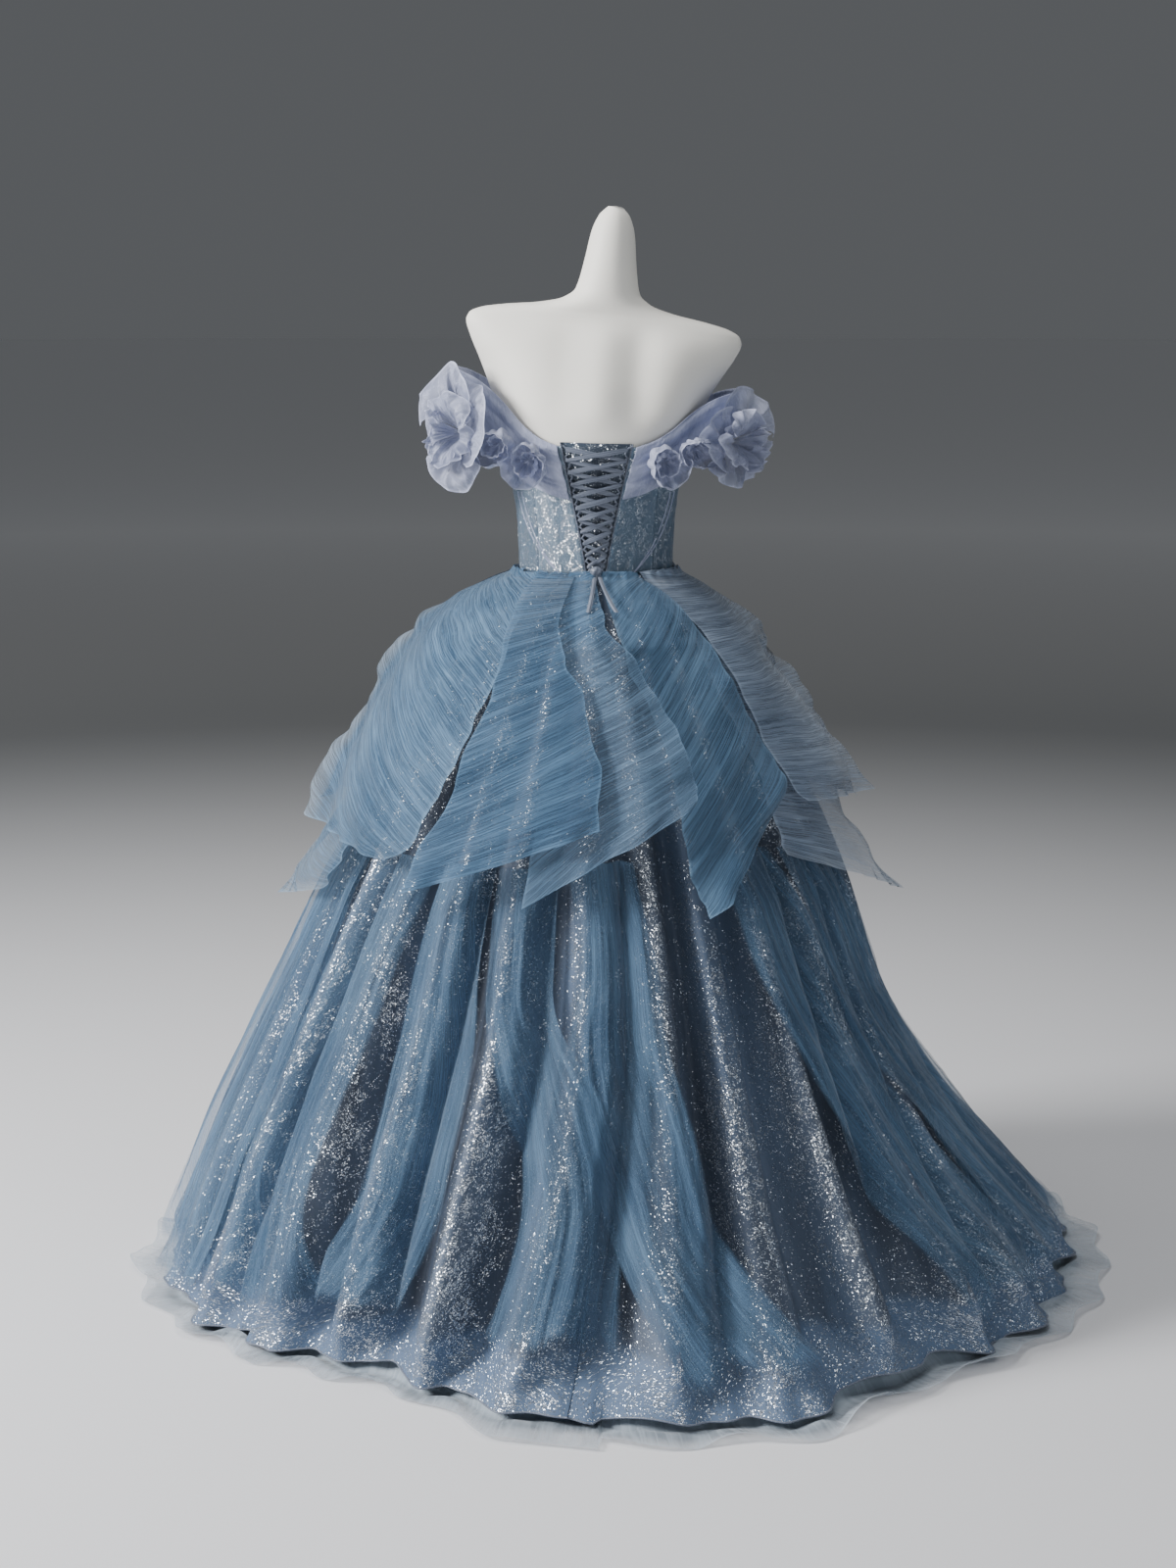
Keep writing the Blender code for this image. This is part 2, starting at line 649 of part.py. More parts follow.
def make_ribbon(name, first_side, out):
    """A flat ribbon that zigzags up the open back and folds over at each loop.

    Runs that rise to the left lie under runs that rise to the right, so the two
    ribbons cross without touching.
    """
    upper = out + RIBBON_THICK + RIBBON_FOLD
    levels = lacing_levels()
    inside = [[], []]
    outside = [[], []]
    side = first_side
    for low, high in zip(levels, levels[1:]):
        above = side > 0.0
        for grid, depth, past in ((inside, upper if above else out + RIBBON_THICK, 0.0),
                                  (outside, upper + RIBBON_THICK if above else out, RIBBON_THICK)):
            for part in (0.0, 0.5, 1.0):
                rise = low + (high - low) * part
                reach = lacing_angle(rise, LOOP_REACH * 0.5 - past) * side * (1.0 - 2.0 * part)
                for row, half in ((0, 0.5), (1, -0.5)):
                    grid[row].append(lean(on_torso(reach, rise + half * RIBBON_WIDTH, depth)))
        side = -side
    return wall(name, inside, outside, RIBBON_LOOK)


def tube(name, path, radius, look, sides=4):
    """A thin round cord along a path."""
    rings = []
    for i, point in enumerate(path):
        ahead = (path[min(i + 1, len(path) - 1)] - path[max(i - 1, 0)]).normalized()
        across = ahead.cross(Vector((0.0, 1.0, 0.0))).normalized()
        depth = ahead.cross(across)
        ring = []
        for j in range(sides):
            turn = 2.0 * math.pi * (j + 0.5) / sides
            ring.append(point + (across * math.cos(turn) + depth * math.sin(turn)) * radius)
        rings.append(ring)
    return turned(name, rings, look)


def make_loops(name, side):
    """A row of small rouleau loops along a lacing edge, made of one cord."""
    path = []
    bottom = LACING_FROM - LOOPS_BELOW
    top = BODICE_TOP[0][1] - LOOPS_UNDER_TOP
    steps = LOOP_COUNT * len(LOOP_SCALLOP)
    for k in range(steps + 1):
        rise = bottom + (top - bottom) * k / steps
        reach = LOOP_SCALLOP[k % len(LOOP_SCALLOP)] * LOOP_REACH
        angle = lacing_angle(rise, reach + LOOP_RADIUS)
        out = MODESTY_CLEARANCE + MODESTY_THICK + LOOPS_OFF
        path.append(lean(on_torso(side * angle, rise, out)))
    tube(name, path, LOOP_RADIUS, RIBBON_LOOK)


def make_knot(out):
    """The tied ribbon at the point of the lacing, with its two free ends."""
    center = lean(on_torso(0.0, KNOT_SIZE[2] + 2.0 * SEAM_GAP, out + KNOT_SIZE[1]))
    bpy.ops.mesh.primitive_uv_sphere_add(segments=10, ring_count=6, radius=1.0, location=center)
    knot = bpy.context.object
    knot.scale = KNOT_SIZE
    bpy.ops.object.transform_apply(location=True, rotation=False, scale=True)
    knot.name = "lace_knot"
    knot.data.materials.clear()
    knot.data.materials.append(make_material(RIBBON_LOOK, "lace_knot"))
    for side, spread in zip((1.0, -1.0), TAIL_SPREADS):
        outer = [[center + Vector((x, 0.0, 0.0)) for x in (-TAIL_ROOT_HALF, TAIL_ROOT_HALF)]]
        for drop in TAIL_DROPS:
            turn = side * spread * (0.5 + drop / TAIL_DROPS[-1])
            middle = bell_point(turn, BELL[0][0] - drop, TAIL_LAYER) + Vector((0.0, TAIL_OFF, 0.0))
            half = Vector((RIBBON_WIDTH * 0.5, 0.0, 0.0))
            outer.append([middle - half, middle + half])
        normals = grid_normals(outer, (0.0, 0.0))
        inner = moved_in(outer, normals, RIBBON_THICK)
        tail = wall("tail", outer, inner, RIBBON_LOOK)
        union = knot.modifiers.new("join", "BOOLEAN")
        union.operation = "UNION"
        union.solver = "EXACT"
        union.object = tail
        bpy.context.view_layer.objects.active = knot
        bpy.ops.object.modifier_apply(modifier=union.name)
        bpy.data.objects.remove(tail)
    knot.data.shade_smooth()


def make_lacing():
    """Two crossing ribbons, their loops and their knot."""
    make_modesty_panel()
    base = MODESTY_CLEARANCE + MODESTY_THICK + LACING_OFF
    make_ribbon("lace_first", 1.0, base)
    make_ribbon("lace_second", -1.0, base)
    make_loops("loops_left", 1.0)
    make_loops("loops_right", -1.0)
    make_knot(base + KNOT_OFF)


def flute_place(angle, height):
    """The ridge before an angle, and the part of the way from it to the next ridge."""
    slant = 1.0 - min(height / FLUTE_SLANT_FROM, 1.0)
    ridges = [middle + (hem - middle) * slant for middle, hem, reach in FLUTES]
    ridges.append(ridges[0] + 360.0)
    turn = (angle - ridges[0]) % 360.0 + ridges[0]
    index = 0
    while turn >= ridges[index + 1]:
        index += 1
    part = (turn - ridges[index]) / (ridges[index + 1] - ridges[index])
    return index, part


def ridge_angle(index, part, height):
    """Angle of a place between two ridges at a height."""
    slant = 1.0 - min(height / FLUTE_SLANT_FROM, 1.0)
    count = len(FLUTES)
    first = FLUTES[index % count]
    second = FLUTES[(index + 1) % count]
    start = first[0] + (first[1] - first[0]) * slant
    end = second[0] + (second[1] - second[0]) * slant
    if end < start:
        end += 360.0
    return start + (end - start) * part


def skirt_reach(index, part, height):
    """Reach of the skirt at a place between two ridges."""
    angle = ridge_angle(index, part, height)
    wave = math.cos(2.0 * math.pi * part)
    reach = all_round(SKIRT, angle, height) + read_table(SKIRT, height, 5) * wave
    spread = read_table(SKIRT, height, 6)
    blend = 0.5 - 0.5 * math.cos(math.pi * part)
    count = len(FLUTES)
    extra = 0.0
    for which, weight in ((index, 1.0 - blend), (index + 1, blend)):
        row = FLUTES[which % count]
        plain = all_round(SKIRT, row[1], SKIRT[-1][0]) + SKIRT[-1][5]
        extra += (row[2] - plain) * weight
    return reach + extra * spread


def hem_height(angle, height):
    """Lift the lowest row into the uneven standing curls of the hem."""
    sway = HEM_CURL_SWAY * math.sin(math.radians(angle * HEM_CURL_SWAY_TURNS))
    curl = 0.5 + 0.5 * math.sin(math.radians(angle * HEM_CURL_TURNS) + sway)
    near = max(1.0 - height / SKIRT[-2][0], 0.0)
    return height + HEM_CURL * curl * near


def skirt_grid():
    """Outer and inner points of the whole skirt, wrapped round with one repeated column."""
    per_flute = len(FLUTE_COLUMNS)
    count = len(FLUTES) * per_flute
    first = GORE_SEAM_COLUMN - per_flute
    outer = []
    for row in SKIRT:
        height = row[0]
        line = []
        for column in range(first, first + count + 1):
            index = column // per_flute % len(FLUTES)
            part = FLUTE_COLUMNS[column % per_flute]
            angle = ridge_angle(index, part, height)
            reach = skirt_reach(index, part, height)
            line.append(round_the_axis(angle, reach, hem_height(angle, height)))
        outer.append(line)
    wrapped = [[row[-2]] + row + [row[1]] for row in outer]
    normals = [line[1:-1] for line in grid_normals(wrapped, (0.0, 0.0))]
    return outer, moved_in(outer, normals, SKIRT_CLOTH)


def make_skirt():
    """Seven gores that hang in deep flutes, cut at the bottom of a flute."""
    outer, inner = skirt_grid()
    span = FLUTES_PER_GORE * len(FLUTE_COLUMNS)
    for gore, name in enumerate(GORE_NAMES):
        start = gore * span
        sides = []
        for grid in (outer, inner):
            rows = []
            for row in grid:
                line = [point.copy() for point in row[start:start + span + 1]]
                line[0] += (line[1] - line[0]).normalized() * SEAM_GAP
                line[-1] += (line[-2] - line[-1]).normalized() * SEAM_GAP
                rows.append(line)
            sides.append(rows)
        wall(name, sides[0], sides[1], LACE_LOOK)


def make_under_hem():
    """Flat tulle hem of the underskirt, a wavy ring on the floor."""
    past = []
    for j in range(UNDER_HEM_COLUMNS):
        angle = 360.0 * j / UNDER_HEM_COLUMNS
        index, part = flute_place(angle, 0.0)
        flute = UNDER_HEM_FLUTE * SKIRT[-1][5] * math.cos(2.0 * math.pi * part)
        reach = skirt_reach(index, part, SKIRT[-1][0]) - flute
        wave = UNDER_HEM_WAVE * math.sin(math.radians(angle * UNDER_HEM_WAVES))
        past.append(round_the_axis(angle, reach + UNDER_HEM_PAST + wave, UNDER_HEM_THICK))
    past.append(past[0])
    inside = [round_the_axis(360.0 * j / UNDER_HEM_COLUMNS, UNDER_HEM_INNER, UNDER_HEM_THICK)
              for j in range(UNDER_HEM_COLUMNS + 1)]
    outer = [inside, past]
    inner = [[Vector((point.x, point.y, 0.0)) for point in row] for row in outer]
    ring_wall("under_hem", outer, inner, PALE_TULLE_LOOK)


def ring_wall(name, outer, inner, look):
    """Close two wrapped rows above and two below into a ring."""
    count = len(outer[0]) - 1
    points = [point for row in (outer[0], outer[1], inner[1], inner[0]) for point in row[:-1]]
    faces = []
    for i in range(4):
        for j in range(count):
            a = i * count + j
            b = i * count + (j + 1) % count
            c = (i + 1) % 4 * count + (j + 1) % count
            d = (i + 1) % 4 * count + j
            faces += [(a, b, c), (a, c, d)]
    return make_object(name, points, faces, look)


def layer_step(height):
    """Room for one layer of the peplum at a height, pleats included."""
    return min(LAYER_STEP_TOP + LAYER_STEP_SLOPE * (BELL[0][0] - height), LAYER_STEP_MOST)


def bell_point(angle, height, layer):
    """Point in the middle of a layer of the peplum."""
    return round_the_axis(angle, all_round(BELL, angle, height) + layer_step(height) * layer, height)


def drape(name, rows, layers, pleats, columns, frill=0.0):
    """A pleated drape whose pleats run from its left edge to its right edge.

    rows holds the left angle, left height, right angle and right height of the drape
    from its top down, layers the layer at its left and at its right edge.
    """
    count = pleats * 2
    outer = []
    for i in range(count + 1):
        at = (len(rows) - 1) * (i / count) ** ROWS_TO_TOP
        low = min(int(at), len(rows) - 2)
        part = at - low
        ends = [first + (second - first) * part for first, second in zip(rows[low], rows[low + 1])]
        line = []
        for j in range(columns + 1):
            along = j / columns
            angle = ends[0] + (ends[2] - ends[0]) * along
            height = min(ends[1] + (ends[3] - ends[1]) * along, BELL[0][0])
            layer = layers[0] + (layers[1] - layers[0]) * smooth_step(along, *LAYER_BLEND)
            point = bell_point(angle, height, layer)
            room = max(layer_step(height) - TULLE - 3.0 * SEAM_GAP, 0.0) * PLEAT_SHARE
            opened = smooth_step(BELL[0][0] - height, 0.0, PLEATS_OPEN)
            pleat = room * (0.5 if i % 2 else -0.5) * opened
            wave = frill * (i / count) ** 3 * (1.0 if j % 2 else -1.0)
            outward = Vector((point.x, point.y, 0.0)).normalized()
            line.append(point + outward * (pleat + wave))
        outer.append(line)
    normals = grid_normals(outer, (0.0, 0.0))
    return wall(name, outer, moved_in(outer, normals, TULLE), TULLE_LOOK)


def make_peplum():
    """Ten crinkle pleated drapes over the skirt, in four layers at the waist."""
    drape("peplum_left_lower", PEPLUM_LEFT_LOWER, (0.2, 0.2), 5, 7, frill=0.002)
    drape("peplum_right_lower", PEPLUM_RIGHT_LOWER, (0.2, 0.2), 5, 8, frill=0.002)
    drape("peplum_front_lower", PEPLUM_FRONT_LOWER, (0.2, 0.2), 5, 8, frill=0.002)
    drape("peplum_left_upper", PEPLUM_LEFT_UPPER, (1.4, 1.4), 8, 7)
    drape("peplum_right_upper", PEPLUM_RIGHT_UPPER, (1.5, 1.5), 7, 7)
    drape("peplum_front_left", PEPLUM_FRONT_LEFT, (1.4, 2.5), 6, 8)
    drape("peplum_front_right", PEPLUM_FRONT_RIGHT, (2.5, 1.4), 6, 7)
    drape("peplum_back_right", PEPLUM_BACK_RIGHT, (2.2, 2.2), 8, 5)
    drape("peplum_back_middle", PEPLUM_BACK_MIDDLE, (1.5, 3.5), 7, 6)
    drape("peplum_back_left", PEPLUM_BACK_LEFT, (2.7, 2.7), 8, 5)


def facet_reach(angle, height):
    """Reach of the skirt's own flat facets, between the columns beside an angle."""
    index, part = flute_place(angle, height)
    step = 1.0 / len(FLUTE_COLUMNS)
    before = math.floor((part - FLUTE_COLUMNS[0]) / step)
    share = (part - FLUTE_COLUMNS[0]) / step - before
    reaches = []
    for column in (before, before + 1):
        place = index + column // len(FLUTE_COLUMNS)
        reaches.append(skirt_reach(place, FLUTE_COLUMNS[column % len(FLUTE_COLUMNS)], height))
    return reaches[0] + (reaches[1] - reaches[0]) * share


def cover_point(angle, height, hang):
    """Point over the skirt: on its facets where hang is 0, clear of its ridges where it is 1."""
    reach = 0.0
    for shift in STREAMER_COVER:
        index, part = flute_place(angle + shift, height)
        near = facet_reach(angle + shift, height)
        reach = max(reach, near + (skirt_reach(index, part, height) - near) * hang)
    lift = STREAMER_SEAT + (STREAMER_LIFT - STREAMER_SEAT) * hang
    return round_the_axis(angle, reach + lift, hem_height(angle, height))


def make_streamers():
    """Long crinkled strips of tulle that hang from under the peplum over the skirt."""
    for name, rows in STREAMERS.items():
        outer = []
        for i in range(STREAMER_ROWS):
            height = rows[0][0] + (rows[-1][0] - rows[0][0]) * i / (STREAMER_ROWS - 1)
            left = read_table(rows, height, 1)
            right = read_table(rows, height, 2)
            hang = min(i / STREAMER_SEAT_ROWS, 1.0)
            line = []
            for j in range(STREAMER_COLUMNS):
                angle = left + (right - left) * j / (STREAMER_COLUMNS - 1)
                point = cover_point(angle, height, hang)
                outward = Vector((point.x, point.y, 0.0)).normalized()
                crinkle = STREAMER_CRINKLE * hang * (1.0 if j % 2 else -STREAMER_HOLLOW)
                line.append(point + outward * crinkle)
            outer.append(line)
        normals = grid_normals(outer, (0.0, 0.0))
        wall(name, outer, moved_in(outer, normals, TULLE), TULLE_LOOK)


def strap_point(along, down, out=0.0):
    """Point on the band, by the part of its length and of its width from the top."""
    at = along * (len(STRAP) - 1)
    low = min(int(at), len(STRAP) - 2)
    part = at - low
    values = [first + (second - first) * part for first, second in zip(STRAP[low], STRAP[low + 1])]
    angle = values[0] + (values[1] - values[0]) * down
    rise = values[2] + (values[3] - values[2]) * down
    return on_bodice(angle, rise, values[4] + out)


def make_strap(name, side):
    """The pleated satin band, from the lacing round the arm to the front."""
    outer = []
    inner = []
    rows = STRAP_FOLDS * 2
    for i in range(rows + 1):
        fold = STRAP_FOLD_DEPTH * (1.0 if i % 2 else 0.0)
        outer_row = []
        inner_row = []
        for j in range(len(STRAP)):
            along = j / (len(STRAP) - 1)
            for line, out in ((outer_row, CLOTH + fold), (inner_row, fold)):
                point = strap_point(along, i / rows, out)
                line.append(lean(Vector((point.x * side, point.y, point.z))))
        outer.append(outer_row)
        inner.append(inner_row)
    wall(name, outer, inner, SATIN_LOOK)


def frame_of(direction):
    """Two directions square to an axis."""
    axis = Vector(direction).normalized()
    across = axis.cross(Vector((0.0, 0.0, 1.0))).normalized()
    return axis, across, across.cross(axis)


def place_on_figure(point, side):
    """Mirror a point to a side of the figure and lean it."""
    return lean(Vector((point.x * side, point.y, point.z)))


def make_rose(name, values, side):
    """A strip of organza rolled on itself into a rose."""
    along, down, out, radius, direction = values
    root = strap_point(along, down, out)
    axis, across, upward = frame_of(direction)
    outer = []
    for level, width in ROSE_LEVELS[::-1]:
        line = []
        for j in range(ROSE_COLUMNS + 1):
            part = j / ROSE_COLUMNS
            turn = 2.0 * math.pi * ROSE_TURNS * part
            reach = (ROSE_CORE + (1.0 - ROSE_CORE) * part) * radius * width
            rise = ROSE_RISE_INSIDE + (ROSE_RISE_OUTSIDE - ROSE_RISE_INSIDE) * part
            rise *= level * radius
            flat = across * math.cos(turn) + upward * math.sin(turn)
            line.append(place_on_figure(root + flat * reach + axis * rise, side))
        outer.append(line)
    inner = moved_in(outer, grid_normals(outer), TULLE * side)
    wall(name, outer, inner, SATIN_LOOK)


def make_petal(name, values, side):
    """A broad petal of the open flower, a fan on the flower's cup with a turned rim."""
    first, last, length, out = values
    root = strap_point(FLOWER_ALONG, FLOWER_DOWN, 0.0)
    axis, across, upward = frame_of(FLOWER_FACING)
    outer = []
    for i in range(PETAL_ROWS + 1):
        line = []
        part = i / PETAL_ROWS
        for j in range(PETAL_COLUMNS + 1):
            over = 2.0 * j / PETAL_COLUMNS - 1.0
            widening = PETAL_NARROW + (1.0 - PETAL_NARROW) * part
            turn = math.radians(first + (last - first) * (0.5 + 0.5 * over * widening))
            tip = length * (1.0 - PETAL_ROUND * over * over)
            reach = FLOWER_FIRST_REACH + (tip - FLOWER_FIRST_REACH) * part
            rise = FLOWER_CUP * math.sin(min(reach / length, 1.0) * PETAL_CURVE)
            ruffle = PETAL_RUFFLE * part * math.sin(turn * PETAL_RUFFLES)
            flat = upward * math.cos(turn) - across * math.sin(turn)
            point = root + flat * reach + axis * (rise + ruffle + out)
            line.append(place_on_figure(point, side))
        outer.append(line)
    inner = moved_in(outer, grid_normals(outer), TULLE * side)
    wall(name, outer, inner, SATIN_LOOK)


def make_sleeves():
    """Both bands with their roses and petals."""
    for word, side in (("left", 1.0), ("right", -1.0)):
        make_strap("strap_" + word, side)
        for name, values in ROSES.items():
            make_rose("sleeve_" + word + "_" + name, values, side)
        for name, values in PETALS.items():
            make_petal("sleeve_" + word + "_" + name, values, side)


def main():
    for item in list(bpy.data.objects):
        bpy.data.objects.remove(item)
    make_form()
    make_stand()
    make_bodice()
    make_lacing()
    make_skirt()
    make_under_hem()
    make_peplum()
    make_streamers()
    make_sleeves()


main()
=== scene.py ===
"""Looks of a ball gown on a limbless dress form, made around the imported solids.

Metres, +Z up. The laced back faces +Y. Angles are in degrees round the upright axis: 0 at the
centre back, 90 towards +X. Heights on the figure are measured from the waist seam, heights on
the skirt from the floor. The tables give the same sizes as the solids do.
"""
import math

import bpy
import numpy as np
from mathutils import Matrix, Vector


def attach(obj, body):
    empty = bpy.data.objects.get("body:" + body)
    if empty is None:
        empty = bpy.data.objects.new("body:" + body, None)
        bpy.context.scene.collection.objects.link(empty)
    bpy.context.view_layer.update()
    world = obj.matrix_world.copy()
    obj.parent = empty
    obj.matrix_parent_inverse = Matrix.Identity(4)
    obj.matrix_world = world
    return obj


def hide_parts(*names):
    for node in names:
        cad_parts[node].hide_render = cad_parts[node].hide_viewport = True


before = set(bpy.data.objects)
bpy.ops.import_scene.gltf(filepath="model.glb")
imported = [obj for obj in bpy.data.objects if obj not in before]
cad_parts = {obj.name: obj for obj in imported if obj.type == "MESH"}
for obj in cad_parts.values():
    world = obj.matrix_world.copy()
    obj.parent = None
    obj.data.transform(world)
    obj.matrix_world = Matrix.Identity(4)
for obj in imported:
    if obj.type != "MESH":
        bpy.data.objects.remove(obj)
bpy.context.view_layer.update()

# Driving sizes of the whole
TURN = 2.0 * math.pi
WAIST_Z = 1.08
TOP = 1.0796
SEAM_GAP = 0.0003
CLOTH = 0.0018
TULLE = 0.0014
BODICE_CLEARANCE = 0.0017
LEAN = math.radians(5.4)
LEAN_FROM = 0.11
LEAN_TO = 0.35

# Dress form: height over the waist, half width, depth to the back, depth to the front
TORSO = np.array((
    (-0.28, 0.1, 0.08, 0.08),
    (-0.262, 0.136, 0.106, 0.106),
    (-0.2, 0.154, 0.12, 0.112),
    (-0.11, 0.144, 0.114, 0.104),
    (-0.05, 0.124, 0.098, 0.094),
    (0, 0.11, 0.086, 0.086),
    (0.06, 0.112, 0.091, 0.094),
    (0.12, 0.119, 0.1, 0.112),
    (0.17, 0.134, 0.107, 0.124),
    (0.22, 0.149, 0.105, 0.116),
    (0.265, 0.164, 0.094, 0.099),
    (0.3, 0.181, 0.08, 0.084),
    (0.334, 0.199, 0.064, 0.066),
    (0.354, 0.206, 0.052, 0.053),
    (0.365, 0.202, 0.045, 0.046),
    (0.374, 0.185, 0.041, 0.042),
    (0.382, 0.148, 0.039, 0.04),
    (0.389, 0.102, 0.04, 0.041),
    (0.399, 0.066, 0.042, 0.043),
    (0.414, 0.048, 0.043, 0.043),
    (0.455, 0.039, 0.041, 0.04),
    (0.5, 0.032, 0.035, 0.034),
    (0.524, 0.023, 0.026, 0.025),
    (0.537, 0.011, 0.013, 0.013),
))
FORM_COLUMNS = 144
FORM_ROWS_PER_STEP = 5
NECK_CAP = 0.0008
SPINE_RIDGE = 0.0045
BLADE_HOLLOW = 0.0062
LEFT_SHARE = 0.35
SHOULDER_BLADE = 0.005

# Bodice: angle round the body and height of its top edge over the waist
BODICE_TOP = np.array((
    (0, 0.195),
    (24, 0.19),
    (48, 0.172),
    (96, 0.165),
    (120, 0.19),
    (144, 0.226),
    (156, 0.234),
    (168, 0.222),
    (180, 0.202),
))
PANEL_SEAMS = (48.0, 96.0, 144.0, 216.0, 264.0, 312.0)
PANEL_NAMES = (
    "bodice_back_left",
    "bodice_side_left",
    "bodice_front_side_left",
    "bodice_front",
    "bodice_front_side_right",
    "bodice_side_right",
    "bodice_back_right",
)
PANEL_RADIUS = 0.115
CUP_ANGLE = 152.0
CUP_SPREAD = 17.0
CUP_HEIGHT = 0.165
CUP_REACH = 0.045
CUP_OUT = 0.014
BONE_HIGH = 0.0012
BONE_WIDE = 0.003
BONE_PLACES = (0.06, 0.5, 0.94)
SEAM_DENT = 0.0009
SEAM_DENT_WIDE = 0.0015
SIDE_SEAM_FROM = 63.0
SIDE_SEAM_SWEEP = 34.0
SIDE_SEAM_TOP = 0.118
SIDE_STRIP_TURN = 7.0

# Lacing: half width of the open back at the waist and at its top
LACING_HALF_LOW = 0.0145
LACING_HALF_TOP = 0.052
LACING_CURVE = 1.15
LACING_FROM = 0.012
LACING_UNDER_TOP = 0.008
LACING_OFF = 0.0042
LACING_CROSSINGS = 10
RIBBON_WIDTH = 0.0095
RIBBON_STEPS = 25
RIBBON_THICK = 0.001
RIBBON_FOLD = 0.0008
LOOP_COUNT = 11
LOOP_REACH = 0.0065
LOOP_RADIUS = 0.0013
LOOPS_BELOW = 0.008
LOOPS_UNDER_TOP = 0.004
LOOPS_OFF = 0.002
MODESTY_THICK = 0.001
MODESTY_CLEARANCE = 0.0013
KNOT_SIZE = (0.0085, 0.0055, 0.007)
KNOT_OFF = 0.012
TAIL_LONG = 0.042
TAIL_SPREADS = (2.2, 5.5)
TAIL_LAYER = 4.3
TAIL_OFF = 0.0021
TAIL_WIDTH = 0.0062

# Skirt flutes: angle of the ridge at mid height, its angle at the hem, its reach at the hem
FLUTES = np.array((
    (1.3, 10, 0.756),
    (17.5, 22, 0.692),
    (31, 35, 0.668),
    (45.7, 47, 0.69),
    (59, 59, 0.712),
    (73, 72, 0.716),
    (87, 86, 0.714),
    (100, 99, 0.704),
    (113, 112, 0.69),
    (126, 125, 0.672),
    (139, 138, 0.656),
    (152, 151, 0.646),
    (164, 164, 0.64),
    (177, 177, 0.64),
    (190, 190, 0.642),
    (203, 203, 0.652),
    (216, 216, 0.668),
    (229, 229, 0.7),
    (241, 241, 0.752),
    (253, 252, 0.815),
    (264, 263, 0.798),
    (275, 274, 0.788),
    (286, 286, 0.78),
    (297, 298, 0.772),
    (309, 310, 0.764),
    (323, 324, 0.756),
    (337.5, 339, 0.815),
    (348, 352, 0.8),
))
FLUTES_PER_GORE = 4
GORE_FIRST = -0.375
GORE_NAMES = (
    "skirt_back_left",
    "skirt_side_back_left",
    "skirt_side_front_left",
    "skirt_front",
    "skirt_side_front_right",
    "skirt_side_back_right",
    "skirt_back_right",
)
FLUTE_SLANT_FROM = 0.45

# Skirt body: height over the floor, reach at the back, left, front and right, flute depth,
# and the part of each flute's own spread at the hem
SKIRT = np.array((
    (TOP, 0.0905, 0.114, 0.0905, 0.114, 0, 0),
    (1.04, 0.136, 0.156, 0.128, 0.154, 0.004, 0),
    (0.8, 0.286, 0.302, 0.256, 0.288, 0.016, 0),
    (0.63, 0.372, 0.38, 0.33, 0.356, 0.024, 0),
    (0.45, 0.458, 0.458, 0.402, 0.406, 0.033, 0),
    (0.27, 0.543, 0.538, 0.472, 0.508, 0.041, 0.05),
    (0.115, 0.618, 0.605, 0.536, 0.644, 0.046, 0.35),
    (0.04, 0.67, 0.648, 0.576, 0.708, 0.048, 0.72),
    (0.0036, 0.708, 0.68, 0.6, 0.75, 0.05, 1),
))
HEM_CURL = 0.022
HEM_CURL_TURNS = 19
HEM_CURL_SWAY = 1.3
HEM_CURL_SWAY_TURNS = 3
HEM_BORDER = 0.085
HEM_SPREAD = 0.02
HEM_LIFT = 0.017
HEM_FLATTER = 0.7
WAVES_ROUND = 64.0
SKIRT_ROWS = 120
SKIRT_COLUMNS_PER_FLUTE = 20

# Pale underskirt hem on the floor
UNDER_HEM_INNER = 0.56
UNDER_HEM_SHOWN = 0.046
UNDER_HEM_WAVE = 0.02
UNDER_HEM_FLUTE = 0.8
UNDER_HEM_INSIDE = 0.014
UNDER_HEM_STAND = 0.03

# Peplum bell: height over the floor, reach at the back, left, front and right
BELL = np.array((
    (TOP, 0.0935, 0.117, 0.0935, 0.117),
    (1.062, 0.123, 0.156, 0.118, 0.144),
    (1.035, 0.162, 0.196, 0.152, 0.174),
    (0.998, 0.2, 0.232, 0.184, 0.204),
    (0.956, 0.234, 0.262, 0.212, 0.232),
    (0.908, 0.27, 0.292, 0.244, 0.262),
    (0.856, 0.306, 0.322, 0.276, 0.298),
    (0.8, 0.338, 0.352, 0.308, 0.34),
    (0.75, 0.364, 0.372, 0.334, 0.362),
    (0.7, 0.392, 0.4, 0.362, 0.382),
    (0.65, 0.42, 0.428, 0.392, 0.416),
    (0.6, 0.444, 0.46, 0.42, 0.448),
    (0.55, 0.468, 0.49, 0.446, 0.49),
))
LAYER_STEP_TOP = 0.0034
LAYER_STEP_SLOPE = 0.17
LAYER_STEP_MOST = 0.0185
LAYER_BLEND = (0.35, 0.75)
ROWS_TO_TOP = 1.35

